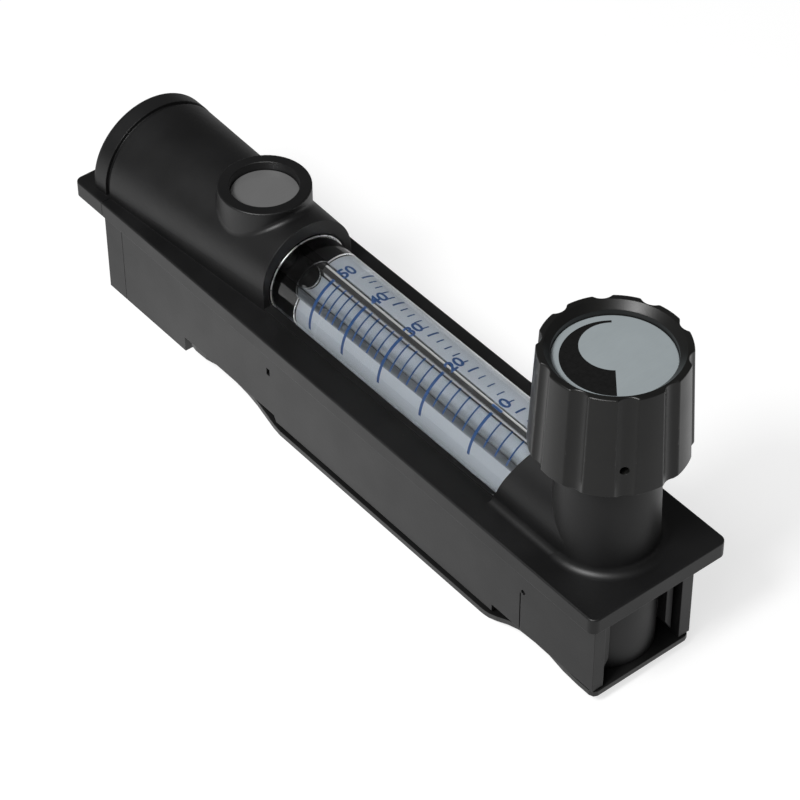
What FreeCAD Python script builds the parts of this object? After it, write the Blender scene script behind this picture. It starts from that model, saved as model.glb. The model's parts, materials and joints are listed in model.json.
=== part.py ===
import FreeCAD, Part
import math
import os
import Sketcher

# Variable-area flow meter (rotameter) for panel mounting, lying on its back.
# Frame: +Z out of the front, +Y towards the outlet end, +X to the right seen from the front.
# The origin is the middle of the rear plane, which carries the foot of the body and the rear plate.
# All lengths are millimetres.

os.makedirs("parts", exist_ok=True)
doc = FreeCAD.newDocument("flow_meter")

# Driving dimensions
SIZES = [
    ("flange_length", 157.5, "flange end to end"),
    ("flange_width", 32.0, "flange across"),
    ("flange_thick", 3.5, "flange thickness"),
    ("flange_corner", 1.6, "rounding of the flange corners"),
    ("flange_edge", 0.35, "rounding of the flange front edge"),
    ("front_level", 28.0, "front face of the flange above the rear plane"),
    ("end_margin", 3.75, "flange beyond the box at each end"),
    ("side_margin", 4.15, "flange beyond the box at each side"),
    ("skirt_width", "=flange_width - 2*side_margin", "box behind the panel, across"),
    ("skirt_length", "=flange_length - 2*end_margin", "box behind the panel, end to end"),
    ("skirt_wall", 2.6, "side wall of the box"),
    ("ceiling", 20.5, "inside top of the box under the tube"),

    ("valve_margin", 14.95, "valve axis from the inlet end of the flange"),
    ("valve_y", "=valve_margin - flange_length/2", "axis of valve and knob"),
    ("cap_length", 9.65, "end cap, from its joint to the end of the flange"),
    ("cap_line", "=flange_length/2 - cap_length", "joint between body and end cap"),
    ("cap_gap", 0.15, "gap at the end cap joint"),
    ("dome_margin", 4.05, "flange beyond the dome"),
    ("dome_end", "=flange_length/2 - dome_margin", "outlet end of the dome"),
    ("dome_length", 46.7, "dome from the window face to the end cap joint"),
    ("window_end", "=cap_line - dome_length", "window face of the dome"),
    ("dome_near", 10.7, "dome radius at the window face"),
    ("dome_near_rise", 5.0, "dome centre above the flange at the window face"),
    ("dome_far", 13.85, "dome radius at the end cap joint"),
    ("dome_far_rise", 1.5, "dome centre above the flange at the end cap joint"),
    ("dome_tip", 14.2, "dome radius at the outlet end"),
    ("dome_tip_rise", 1.1, "dome centre above the flange at the outlet end"),
    ("dome_round", 1.2, "rounding of the dome at the outlet end"),
    ("seam_width", 1.2, "groove across the dome at the joint"),
    ("seam_depth", 0.7, "depth of that groove"),

    ("outlet_offset", 13.1, "outlet axis before the end cap joint"),
    ("outlet_y", "=cap_line - outlet_offset", "axis of the outlet port"),
    ("plug_reach", 20.0, "outlet plug before the outlet axis"),
    ("plug_low", "=outlet_y - plug_reach", "lower end of the outlet plug"),
    ("plug_back", 3.1, "outlet plug behind the end cap joint"),
    ("plug_length", "=cap_line - plug_back - plug_low", "outlet plug length"),
    ("plug_radius", 9.0, "outlet plug, outside"),
    ("plug_groove", 1.4, "depth of the seal grooves"),
    ("plug_seal_step", 7.0, "plug seals before and behind the outlet axis"),
    ("plug_seal_wire", 0.68, "half thickness of the plug seals"),
    ("seal_gap", 2.0, "room for a face seal at a tube end"),
    ("seal_wire", 0.96, "half thickness of the face seals"),
    ("seal_ring", 6.4, "mean radius of the face seals"),
    ("tube_radius", 8.75, "outside of the metering tube"),
    ("tube_rise", 3.2, "tube axis above the flange"),
    ("tube_clear", 0.3, "room around the tube"),
    ("tube_start", 11.8, "valve axis to the lower end of the tube"),
    ("tube_low", "=valve_y + tube_start", "lower end of the tube"),
    ("tube_length", "=plug_low - seal_gap - tube_low", "tube end to end"),
    ("bore_low", 2.45, "tube bore at the inlet end"),
    ("bore_high", 3.3, "tube bore at the outlet end"),
    ("float_radius", 2.38, "ball float"),
    ("stop_radius", 3.9, "float stops"),
    ("stop_thick", 2.0, "float stops, thickness"),
    ("fit", 0.05, "radial clearance of a close fit"),

    ("shroud_length", 19.3, "valve axis to the front edge of the shroud at the flange"),
    ("shroud_front", "=valve_y + shroud_length", "front edge of the shroud at the flange"),
    ("shroud_slant", 5.2, "how far the shroud face leans back"),
    ("shroud_radius", 9.95, "outside of the shroud"),
    ("shroud_foot", 1.5, "fillet radius at the foot of the shroud"),
    ("backing_inner", 9.1, "inside of the white scale backing"),
    ("backing_thick", 0.4, "scale backing thickness"),
    ("backing_angle", 71.0, "half angle of the scale backing"),
    ("backing_low", "=shroud_front - 0.1", "lower end of the scale backing"),
    ("backing_end", 0.3, "end of the scale backing before the window face"),
    ("backing_high", "=window_end - backing_end", "upper end of the scale backing"),
    ("sill_high", 0.55, "raised sill beside the tube"),
    ("sill_far", 10.6, "sill half width at the window face"),
    ("sill_near", 9.5, "sill half width at the shroud"),
    ("mouth_bevel", 0.45, "bevel round the tube at the window face"),

    ("neck_base", 9.95, "neck radius at the foot"),
    ("neck_top", 9.3, "neck radius at the top"),
    ("neck_level", 52.3, "top of the neck"),
    ("neck_foot", 1.8, "fillet radius at the foot of the neck"),
    ("column_radius", 10.2, "valve column inside the box"),
    ("column_level", 3.8, "lower end of the valve column"),
    ("column_rib", 6.9, "inner side of the ribs beside the valve column"),
    ("column_rib_wide", 1.5, "thickness of those ribs"),
    ("column_rib_end", 1.4, "end of those ribs inside the box"),
    ("column_rib_low", 5.8, "lower tip of those ribs"),
    ("outlet_column", 8.9, "outlet column radius"),
    ("port_radius", 6.6, "port insert, outside"),
    ("port_length", 14.0, "port insert length"),
    ("port_mouth", 4.28, "tapping bore of the port thread"),
    ("port_depth", 9.5, "depth of the port thread"),
    ("inlet_level", 1.0, "mouth of the inlet port"),
    ("outlet_level", 0.3, "mouth of the outlet port"),
    ("flow_bore", 2.5, "flow passages, radius"),
    ("seat_radius", 4.0, "valve seat, outside"),
    ("seat_low", 20.0, "underside of the valve seat"),
    ("seat_high", 25.0, "top of the valve seat"),
    ("orifice", 1.2, "valve orifice radius"),
    ("chamber_radius", 4.1, "valve chamber"),
    ("bushing_low", 37.0, "lower end of the valve bushing"),
    ("bushing_high", 52.0, "upper end of the valve bushing"),
    ("bushing_radius", 6.5, "valve bushing, outside"),
    ("guide_flats", 6.12, "hexagon of the bushing across flats"),
    ("needle_flats", 6.0, "hexagon of the needle across flats"),
    ("needle_tip", 22.6, "tip of the closed needle"),
    ("needle_shoulder", 30.4, "start of the needle hexagon"),
    ("needle_top", 41.0, "top of the closed needle"),
    ("needle_hole", 33.5, "bottom of the threaded hole in the needle"),
    ("thread_radius", 1.5, "stem thread"),
    ("stem_low", 37.0, "lower end of the stem"),
    ("collar_low", 44.4, "lower face of the stem collar"),
    ("collar_high", 46.2, "upper face of the stem collar"),
    ("collar_radius", 3.2, "stem collar"),
    ("stem_radius", 2.4, "stem"),
    ("gland_low", 47.25, "lower end of the gland nut"),
    ("gland_radius", 4.5, "gland nut, outside of the thread"),
    ("gland_flats", 8.0, "gland nut across flats"),
    ("gland_top", 54.3, "top of the gland nut"),
    ("knob_low", 51.2, "lower edge of the knob"),
    ("knob_high", 73.0, "top edge of the knob"),
    ("knob_base", 14.5, "knob radius at the lower edge"),
    ("knob_head", 13.45, "knob radius at the top edge"),
    ("knob_hollow", 11.6, "inside of the knob skirt"),
    ("knob_web", "=knob_high - 5.5", "underside of the knob web"),
    ("stem_top", "=knob_web + 0.8", "upper end of the stem"),
    ("knob_lobes", 10.0, "flutes around the knob"),
    ("flute_radius", 2.4, "radius of a flute"),
    ("flute_depth", 0.85, "depth of a flute"),
    ("flute_round", 0.6, "rounding of the long edges of a flute"),
    ("knob_edge", 0.3, "rounding of the top edge of the knob"),
    ("hub_radius", 4.6, "knob hub"),
    ("hub_low", 55.2, "lower end of the knob hub"),
    ("dial_radius", 10.95, "dial disc in the knob"),
    ("dial_thick", 0.9, "dial disc thickness"),
    ("dial_floor", "=knob_high - 3.4", "floor of the dial recess"),
    ("dish_step", 1.4, "depth of the sloping ring round the dial"),
    ("dish_wide", 1.3, "width of the sloping ring round the dial"),
    ("grub_radius", 0.8, "set screw"),
    ("grub_level", 56.8, "height of the set screw"),
    ("grub_angle", 237.6, "direction of the set screw"),

    ("badge_offset", 12.9, "window face to the middle of the badge boss"),
    ("badge_y", "=window_end + badge_offset", "middle of the badge boss"),
    ("badge_radius", 9.2, "badge boss"),
    ("badge_level", 45.8, "top of the badge boss"),
    ("badge_round", 0.35, "rounding of the badge boss"),
    ("badge_recess", 6.85, "badge recess radius"),
    ("badge_lip", 0.15, "rounding of the badge recess"),
    ("badge_foot", 1.0, "fillet radius at the foot of the badge boss"),
    ("badge_floor", 43.1, "floor of the badge recess"),
    ("badge_thick", 0.8, "badge disc thickness"),

    ("near_recess", 4.0, "skirt edge level at the inlet end"),
    ("mid_level", 2.3, "skirt edge level along the middle"),
    ("far_recess", 3.7, "skirt edge level before the foot"),
    ("near_step", "=valve_y + 16.7", "step of the skirt edge, inlet end"),
    ("far_step", "=window_end - 4", "step of the skirt edge, outlet end"),
    ("foot_step", "=outlet_y - 7.3", "start of the foot at the outlet end"),
    ("plate_thick", 1.2, "rear plate thickness"),
    ("plate_raise", 2.4, "raised ends of the rear plate"),
    ("plate_near", "=-skirt_length/2 - 0.3", "rear plate, inlet end"),
    ("plate_far", "=foot_step - 0.5", "rear plate, outlet end"),
    ("plate_middle", "=skirt_width/2 + 0.35", "rear plate half width in the middle"),
    ("plate_waist", "=plate_middle - 1.3", "rear plate half width at the waists"),
    ("plate_lobe", "=plate_middle - 0.45", "rear plate half width at the ends"),
    ("post_radius", 3.4, "screw posts for the rear plate"),
    ("post_near_y", "=near_step + 11.1", "screw post towards the inlet"),
    ("post_far_y", "=far_step - 8.4", "screw post towards the outlet"),
    ("web_level", 6.0, "lower edge of the webs that tie posts and columns"),
    ("web_half", 0.9, "half thickness of those webs"),
    ("screw_radius", 1.25, "plate and cap screws"),
    ("screw_head", 2.4, "screw heads"),
    ("screw_slot", 0.3, "half width of the screw slots"),
    ("cap_screw_x", "=dome_far - 2.65", "cap screws off the middle"),
    ("cap_screw_rise", 3.0, "cap screws above the flange front"),
]

sizes = doc.addObject("Spreadsheet::Sheet", "sizes")
for row, (alias, value, meaning) in enumerate(SIZES, start=1):
    sizes.set("A%d" % row, meaning)
    sizes.set("B%d" % row, value if isinstance(value, str) else repr(value))
    sizes.setAlias("B%d" % row, alias)
doc.recompute()

ALIASES = sorted((alias for alias, value, meaning in SIZES), key=len, reverse=True)


def bind(text):
    """Turns a formula in the words of the sheet into an expression."""
    words = []
    word = ""
    for letter in text + " ":
        if letter.isalnum() or letter in "_.":
            word += letter
            continue
        words.append("sizes." + word if word in ALIASES else word)
        words.append(letter)
        word = ""
    return "".join(words).strip()


def value_of(text):
    """Number that a formula of the sheet gives now."""
    return float(sizes.evalExpression(bind(text)))


def new_body(label):
    body = doc.addObject("PartDesign::Body", label)
    body.Label = label
    return body


def origin_item(body, role):
    for item in body.Origin.OriginFeatures:
        if item.Role == role:
            return item
    raise ValueError(role)


def sketch_on(body, name, role, offset="0"):
    """Sketch on an origin plane of the body, moved along the normal of the plane."""
    sketch = body.newObject("Sketcher::SketchObject", name)
    sketch.AttachmentSupport = [(origin_item(body, role), "")]
    sketch.MapMode = "FlatFace"
    if offset != "0":
        sketch.setExpression("AttachmentOffset.Base.z", bind(offset))
    return sketch


def fix_vertex(sketch, piece, end, across, up):
    """Ties a vertex to its two coordinates."""
    if across == "0":
        sketch.addConstraint(Sketcher.Constraint("PointOnObject", piece, end, -2))
    else:
        index = sketch.addConstraint(
            Sketcher.Constraint("DistanceX", -1, 1, piece, end, value_of(across)))
        sketch.setExpression("Constraints[%d]" % index, bind(across))
    if up == "0":
        sketch.addConstraint(Sketcher.Constraint("PointOnObject", piece, end, -1))
    else:
        index = sketch.addConstraint(
            Sketcher.Constraint("DistanceY", -1, 1, piece, end, value_of(up)))
        sketch.setExpression("Constraints[%d]" % index, bind(up))


def arc_between(start, end, radius, turn):
    """Arc of the given radius; turn 1 has its centre on the left of the way, -1 on the right."""
    half = (end - start) * 0.5
    rise = math.sqrt(max(radius * radius - half.Length ** 2, 0.0))
    side = FreeCAD.Vector(-half.y, half.x, 0)
    side.normalize()
    centre = start + half + side * (rise * turn)
    first, last = (start, end) if turn > 0 else (end, start)
    begin = math.atan2(first.y - centre.y, first.x - centre.x)
    finish = math.atan2(last.y - centre.y, last.x - centre.x)
    if finish < begin:
        finish += 2 * math.pi
    circle = Part.Circle(centre, FreeCAD.Vector(0, 0, 1), radius)
    return Part.ArcOfCircle(circle, begin, finish)


def outline(sketch, corners):
    """Closed outline; a corner is (across, up) or (across, up, radius, turn) when an arc follows."""
    points = [FreeCAD.Vector(value_of(c[0]), value_of(c[1]), 0) for c in corners]
    ends = []
    for index, corner in enumerate(corners):
        start = points[index]
        end = points[(index + 1) % len(points)]
        if len(corner) == 2:
            piece = sketch.addGeometry(Part.LineSegment(start, end))
            ends.append((piece, 1, 2))
        else:
            radius = value_of(corner[2])
            piece = sketch.addGeometry(arc_between(start, end, radius, corner[3]))
            ends.append((piece, 1, 2) if corner[3] > 0 else (piece, 2, 1))
    for index, corner in enumerate(corners):
        piece, begin, finish = ends[index]
        before = ends[index - 1]
        sketch.addConstraint(
            Sketcher.Constraint("Coincident", before[0], before[2], piece, begin))
        fix_vertex(sketch, piece, begin, corner[0], corner[1])
        if len(corner) == 4:
            index_radius = sketch.addConstraint(
                Sketcher.Constraint("Radius", piece, value_of(corner[2])))
            sketch.setExpression("Constraints[%d]" % index_radius, bind(corner[2]))


def circle(sketch, across, up, radius):
    centre = FreeCAD.Vector(value_of(across), value_of(up), 0)
    piece = sketch.addGeometry(
        Part.Circle(centre, FreeCAD.Vector(0, 0, 1), value_of(radius)))
    fix_vertex(sketch, piece, 3, across, up)
    index = sketch.addConstraint(Sketcher.Constraint("Radius", piece, value_of(radius)))
    sketch.setExpression("Constraints[%d]" % index, bind(radius))


def rectangle(sketch, left, low, right, high):
    outline(sketch, [(left, low), (right, low), (right, high), (left, high)])


def extrude(body, kind, name, sketch, length, symmetric=False, reverse=False):
    feature = body.newObject("PartDesign::" + kind, name)
    feature.Profile = sketch
    if symmetric:
        feature.SideType = "Symmetric"
    feature.Reversed = reverse
    feature.setExpression("Length", bind(length))
    return feature


def spin(body, kind, name, sketch):
    feature = body.newObject("PartDesign::" + kind, name)
    feature.Profile = sketch
    feature.ReferenceAxis = (sketch, ["V_Axis"])
    feature.Angle = 360
    return feature


def place(body, across="0", along="0", up="0", lying=False):
    """Seats a body; lying turns its own Z to the way of the tube."""
    turn = FreeCAD.Rotation(FreeCAD.Vector(1, 0, 0), -90 if lying else 0)
    where = FreeCAD.Vector(value_of(across), value_of(along), value_of(up))
    body.Placement = FreeCAD.Placement(where, turn)
    for axis, text in (("x", across), ("y", along), ("z", up)):
        if text != "0":
            body.setExpression("Placement.Base." + axis, bind(text))


def turned(label, corners, across="0", along="0", up="0", lying=False):
    """Turned part from half its section: corners are (radius, height)."""
    body = new_body(label)
    sketch = sketch_on(body, label + "_section", "XZ_Plane")
    outline(sketch, corners)
    spin(body, "Revolution", label + "_turned", sketch)
    place(body, across, along, up, lying)
    return body


def ring(label, mean, wire, along, up, lying=False):
    """Elastomer ring of round section."""
    torus = doc.addObject("Part::Torus", label)
    torus.Label = label
    torus.setExpression("Radius1", bind(mean))
    torus.setExpression("Radius2", bind(wire))
    place(torus, "0", along, up, lying)
    return torus


def hexagon(sketch, flats):
    """Regular hexagon across flats, flats facing left and right."""
    half = "(%s)/2" % flats
    reach = "(%s)/sqrt(3)" % flats
    outline(sketch, [
        (half, "(%s)/(2*sqrt(3))" % flats),
        ("0", reach),
        ("-" + half, "(%s)/(2*sqrt(3))" % flats),
        ("-" + half, "-(%s)/(2*sqrt(3))" % flats),
        ("0", "-" + reach),
        (half, "-(%s)/(2*sqrt(3))" % flats),
    ])


def arch(sketch, radius, centre, base):
    """Half-round arch on straight walls."""
    outline(sketch, [
        ("-(%s)" % radius, base),
        ("-(%s)" % radius, centre, radius, -1),
        ("0", "(%s)+(%s)" % (centre, radius), radius, -1),
        (radius, centre),
        (radius, base),
    ])


def loft(body, kind, name, sections):
    feature = body.newObject("PartDesign::" + kind, name)
    feature.Profile = sections[0]
    feature.Sections = sections[1:]
    feature.Ruled = True
    return feature


def edges_where(feature, test):
    """Names of the edges of a feature whose middle passes a test."""
    names = []
    for index, edge in enumerate(feature.Shape.Edges, start=1):
        middle = edge.valueAt((edge.FirstParameter + edge.LastParameter) / 2)
        if test(edge, middle):
            names.append("Edge%d" % index)
    return names


def round_edges(body, name, feature, test, radius):
    doc.recompute()
    names = edges_where(feature, test)
    fillet = body.newObject("PartDesign::Fillet", name)
    fillet.Base = (feature, names)
    fillet.setExpression("Radius", bind(radius))
    return fillet


FLANGE_LOW = "front_level - flange_thick"
TUBE_AXIS = "front_level + tube_rise"
SKIRT_HALF = "skirt_width/2"
INSIDE_HALF = "skirt_width/2 - skirt_wall"


# Main moulding: flange, dome, shroud, neck, box walls and the two flow columns
def meter_body():
    body = new_body("meter_body")
    flange_plan = sketch_on(body, "flange_plan", "XY_Plane", FLANGE_LOW)
    rectangle(flange_plan, "-flange_width/2", "-flange_length/2", "flange_width/2", "cap_line")
    flange = extrude(body, "Pad", "flange", flange_plan, "flange_thick")
    near_end = value_of("-flange_length/2")
    corners = round_edges(
        body, "flange_corners", flange,
        lambda e, m: abs(m.y - near_end) < 0.01 and abs(abs(m.x) - value_of("flange_width/2")) < 0.01,
        "flange_corner")
    front = value_of("front_level")
    far_end = value_of("cap_line")
    round_edges(
        body, "flange_front_edge", corners,
        lambda e, m: abs(m.z - front) < 0.01 and m.y < far_end - 0.01,
        "flange_edge")

    side = sketch_on(body, "skirt_side", "YZ_Plane")
    top = "front_level - 1"
    outline(side, [
        ("-skirt_length/2", "near_recess"),
        ("near_step", "near_recess"),
        ("near_step", "mid_level"),
        ("far_step", "mid_level"),
        ("far_step + 0.7", "far_recess"),
        ("foot_step", "far_recess"),
        ("foot_step", "0"),
        ("cap_line", "0"),
        ("cap_line", top),
        ("-skirt_length/2", top),
    ])
    extrude(body, "Pad", "skirt", side, "skirt_width", symmetric=True)

    # Dome: loft from the small arch at the window to the wide low arch at the end cap
    near = sketch_on(body, "dome_window_arch", "XZ_Plane", "-window_end")
    arch(near, "dome_near", "front_level + dome_near_rise", "front_level - 1")
    far = sketch_on(body, "dome_cap_arch", "XZ_Plane", "-cap_line")
    arch(far, "dome_far", "front_level + dome_far_rise", "front_level - 1")
    loft(body, "AdditiveLoft", "dome", [near, far])

    # Shroud over the lower end of the tube, its face leaning back
    hood = sketch_on(body, "shroud_arch", "XZ_Plane", "-valve_y")
    outline(hood, [
        ("-shroud_radius - shroud_foot", "front_level - 1"),
        ("-shroud_radius - shroud_foot", "front_level", "shroud_foot", 1),
        ("-shroud_radius", "front_level + shroud_foot"),
        ("-shroud_radius", TUBE_AXIS, "shroud_radius", -1),
        ("0", TUBE_AXIS + " + shroud_radius", "shroud_radius", -1),
        ("shroud_radius", TUBE_AXIS),
        ("shroud_radius", "front_level + shroud_foot", "shroud_foot", 1),
        ("shroud_radius + shroud_foot", "front_level"),
        ("shroud_radius + shroud_foot", "front_level - 1"),
    ])
    extrude(body, "Pad", "shroud", hood, "shroud_front - valve_y", reverse=True)
    slant = sketch_on(body, "shroud_slant_side", "YZ_Plane")
    outline(slant, [
        ("shroud_front", "front_level"),
        ("shroud_front + 2", "front_level"),
        ("shroud_front + 2", "front_level + 20"),
        ("shroud_front - shroud_slant*20/14", "front_level + 20"),
    ])
    extrude(body, "Pocket", "shroud_face", slant, "flange_width", symmetric=True)

    # Neck under the knob, flared into the flange
    neck = sketch_on(body, "neck_section", "XZ_Plane", "-valve_y")
    outline(neck, [
        ("0", "front_level - 1"),
        ("neck_base + neck_foot", "front_level - 1"),
        ("neck_base + neck_foot", "front_level", "neck_foot", -1),
        ("neck_base", "front_level + neck_foot"),
        ("neck_top", "neck_level - 0.4"),
        ("neck_top - 0.4", "neck_level"),
        ("0", "neck_level"),
    ])
    spin(body, "Revolution", "neck", neck)

    # Low sills beside the tube
    sill = sketch_on(body, "sill_plan", "XY_Plane", "front_level - 1")
    outline(sill, [
        ("-sill_near", "shroud_front - 2"),
        ("sill_near", "shroud_front - 2"),
        ("sill_far", "window_end + 2"),
        ("-sill_far", "window_end + 2"),
    ])
    extrude(body, "Pad", "sills", sill, "1 + sill_high")

    # Round boss for the badge on top of the dome
    boss = sketch_on(body, "badge_boss_plan", "XY_Plane", "front_level + 10")
    circle(boss, "0", "badge_y", "badge_radius")
    boss_pad = extrude(body, "Pad", "badge_boss", boss, "badge_level - front_level - 10")
    level = value_of("badge_level")
    middle = value_of("badge_y")
    reach = value_of("badge_radius") + 0.1
    round_edges(
        body, "badge_boss_edge", boss_pad,
        lambda e, m: abs(m.z - level) < 0.01 and math.hypot(m.x, m.y - middle) < reach,
        "badge_round")
    recess = sketch_on(body, "badge_recess_plan", "XY_Plane", "badge_floor")
    circle(recess, "0", "badge_y", "badge_recess")
    recess_cut = extrude(body, "Pocket", "badge_recess_cut", recess, "5", reverse=True)
    lip = value_of("badge_recess") + 0.1
    lipped = round_edges(
        body, "badge_recess_edge", recess_cut,
        lambda e, m: abs(m.z - level) < 0.01 and math.hypot(m.x, m.y - middle) < lip,
        "badge_lip")
    side_of_boss = value_of("badge_radius")
    round_edges(
        body, "badge_boss_foot", lipped,
        lambda e, m: m.z < level - 0.5 and abs(math.hypot(m.x, m.y - middle) - side_of_boss) < 0.02,
        "badge_foot")

    # Hollow box behind the flange, open to the rear and at the inlet end
    hollow = sketch_on(body, "hollow_side", "YZ_Plane")
    outline(hollow, [
        ("-skirt_length/2 - 1", "-1"),
        ("cap_line + 1", "-1"),
        ("cap_line + 1", "ceiling"),
        ("valve_y + 8", "ceiling"),
        ("valve_y + 8", FLANGE_LOW),
        ("-skirt_length/2 - 1", FLANGE_LOW),
    ])
    extrude(body, "Pocket", "hollow", hollow, "skirt_width - 2*skirt_wall", symmetric=True)

    # Flow columns and screw posts inside the box
    for name, where, radius, low, high in (
            ("valve_column", "valve_y", "column_radius", "column_level", "front_level - 1"),
            ("outlet_column_pad", "outlet_y", "outlet_column", "outlet_level", "ceiling + 1"),
            ("post_near", "post_near_y", "post_radius", "plate_thick + 0.1", "ceiling + 0.5"),
            ("post_far", "post_far_y", "post_radius", "plate_thick + 0.1", "ceiling + 0.5")):
        plan = sketch_on(body, name + "_plan", "XY_Plane", low)
        circle(plan, "0", where, radius)
        extrude(body, "Pad", name + "_solid", plan, "%s - (%s)" % (high, low))

    # Cross webs that tie the columns and posts to the side walls
    for name, where in (("web_near", "post_near_y"), ("web_far", "post_far_y"),
                        ("web_outlet", "outlet_y")):
        plan = sketch_on(body, name + "_plan", "XY_Plane", "web_level")
        rectangle(plan, "-skirt_width/2 + 1", where + " - web_half",
                  SKIRT_HALF + " - 1", where + " + web_half")
        extrude(body, "Pad", name, plan, "ceiling + 0.5 - web_level")

    # Upright ribs that frame the valve column at the open end, their lower ends cut aslant
    rib_plane = sketch_on(body, "column_ribs_front", "XZ_Plane", "-(valve_y - column_radius/2)")
    for side in ("", "-"):
        inner = side + "column_rib"
        outer = "%s(column_rib + column_rib_wide)" % side
        outline(rib_plane, [
            (inner, "column_rib_low + 2.7"),
            (outer, "column_rib_low"),
            (outer, FLANGE_LOW + " + 0.5"),
            (inner, FLANGE_LOW + " + 0.5"),
        ])
    extrude(body, "Pad", "column_ribs", rib_plane,
            "skirt_length/2 - column_rib_end + valve_y - column_radius/2")

    # Long bore for the tube and its outlet plug, entered from the end cap side
    bore = sketch_on(body, "tube_bore", "XZ_Plane", "-(tube_low + 4)")
    circle(bore, "0", TUBE_AXIS, "tube_radius + tube_clear")
    extrude(body, "Pocket", "tube_bore_cut", bore, "cap_line - tube_low")
    socket = sketch_on(body, "tube_socket", "XZ_Plane", "-(tube_low - seal_gap)")
    circle(socket, "0", TUBE_AXIS, "tube_radius + fit")
    extrude(body, "Pocket", "tube_socket_cut", socket, "seal_gap + 5")
    passage = sketch_on(body, "inlet_passage", "XZ_Plane", "-valve_y")
    circle(passage, "0", TUBE_AXIS, "flow_bore")
    extrude(body, "Pocket", "inlet_passage_cut", passage, "tube_low - valve_y")

    # Bevel round the tube at the window face
    wide = sketch_on(body, "mouth_bevel_wide", "XZ_Plane", "-(window_end - 0.1)")
    circle(wide, "0", TUBE_AXIS, "tube_radius + tube_clear + mouth_bevel + 0.1")
    narrow = sketch_on(body, "mouth_bevel_narrow", "XZ_Plane", "-(window_end + mouth_bevel)")
    circle(narrow, "0", TUBE_AXIS, "tube_radius + tube_clear")
    loft(body, "SubtractiveLoft", "mouth_bevel_cut", [wide, narrow])

    # Channel in the trough for the scale backing
    channel = sketch_on(body, "backing_channel", "XZ_Plane", "-(backing_low - fit)")
    sector(channel, "backing_inner - 0.15", "backing_inner + backing_thick + fit",
           "backing_angle + 0.4")
    extrude(body, "Pocket", "backing_channel_cut", channel, "backing_high - backing_low + 2*fit")

    # Stepped bores of valve and outlet
    valve = sketch_on(body, "valve_bores", "XZ_Plane", "-valve_y")
    outline(valve, [
        ("0", "column_level - 1"),
        ("port_radius + fit", "column_level - 1"),
        ("port_radius + fit", "inlet_level + port_length + fit"),
        ("2", "inlet_level + port_length + fit"),
        ("2", "seat_low - fit"),
        ("seat_radius + fit", "seat_low - fit"),
        ("seat_radius + fit", "seat_high"),
        ("chamber_radius", "seat_high"),
        ("chamber_radius", "bushing_low - fit"),
        ("bushing_radius + fit", "bushing_low - fit"),
        ("bushing_radius + fit", "neck_level + 1"),
        ("0", "neck_level + 1"),
    ])
    spin(body, "Groove", "valve_bores_cut", valve)
    outlet = sketch_on(body, "outlet_bores", "XZ_Plane", "-outlet_y")
    outline(outlet, [
        ("0", "-1"),
        ("port_radius + fit", "-1"),
        ("port_radius + fit", "outlet_level + port_length + fit"),
        ("flow_bore", "outlet_level + port_length + fit"),
        ("flow_bore", "front_level - 3"),
        ("0", "front_level - 3"),
    ])
    spin(body, "Groove", "outlet_bores_cut", outlet)

    # Screw holes in the posts and for the end cap
    for name, where in (("post_near_hole", "post_near_y"), ("post_far_hole", "post_far_y")):
        plan = sketch_on(body, name + "_plan", "XY_Plane", "0")
        circle(plan, "0", where, "screw_radius + fit")
        extrude(body, "Pocket", name, plan, "12", reverse=True)
    holes = sketch_on(body, "cap_screw_holes", "XZ_Plane", "-(cap_line - 9)")
    circle(holes, "-cap_screw_x", "front_level + cap_screw_rise", "screw_radius + fit")
    circle(holes, "cap_screw_x", "front_level + cap_screw_rise", "screw_radius + fit")
    extrude(body, "Pocket", "cap_screw_holes_cut", holes, "10")

    # Small openings in the side walls: a snap slit with its round end and a square hole
    openings = sketch_on(body, "wall_openings", "YZ_Plane")
    rectangle(openings, "near_step - 8", "near_recess - 1", "near_step - 7.7", "front_level - 14.4")
    rectangle(openings, "window_end - 2.5", "front_level - 14.6", "window_end - 1.5",
              "front_level - 12.9")
    extrude(body, "Pocket", "wall_openings_cut", openings, "skirt_width + 2", symmetric=True)
    dots = sketch_on(body, "wall_dots", "YZ_Plane")
    circle(dots, "near_step - 8.6", "front_level - 13.8", "0.55")
    extrude(body, "Pocket", "wall_dots_cut", dots, "skirt_width + 2", symmetric=True)
    return body


def sector(sketch, inner, outer, angle):
    """Ring sector around the tube axis, open to the front."""
    def at(radius, side):
        across = "%s(%s)*sin(%s)" % (side, radius, angle)
        up = "%s - (%s)*cos(%s)" % (TUBE_AXIS, radius, angle)
        return across, up
    left_in = at(inner, "-")
    left_out = at(outer, "-")
    right_in = at(inner, "")
    right_out = at(outer, "")
    outline(sketch, [
        (left_out[0], left_out[1], outer, 1),
        ("0", "%s - (%s)" % (TUBE_AXIS, outer), outer, 1),
        (right_out[0], right_out[1]),
        (right_in[0], right_in[1], inner, -1),
        ("0", "%s - (%s)" % (TUBE_AXIS, inner), inner, -1),
        (left_in[0], left_in[1]),
    ])


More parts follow.
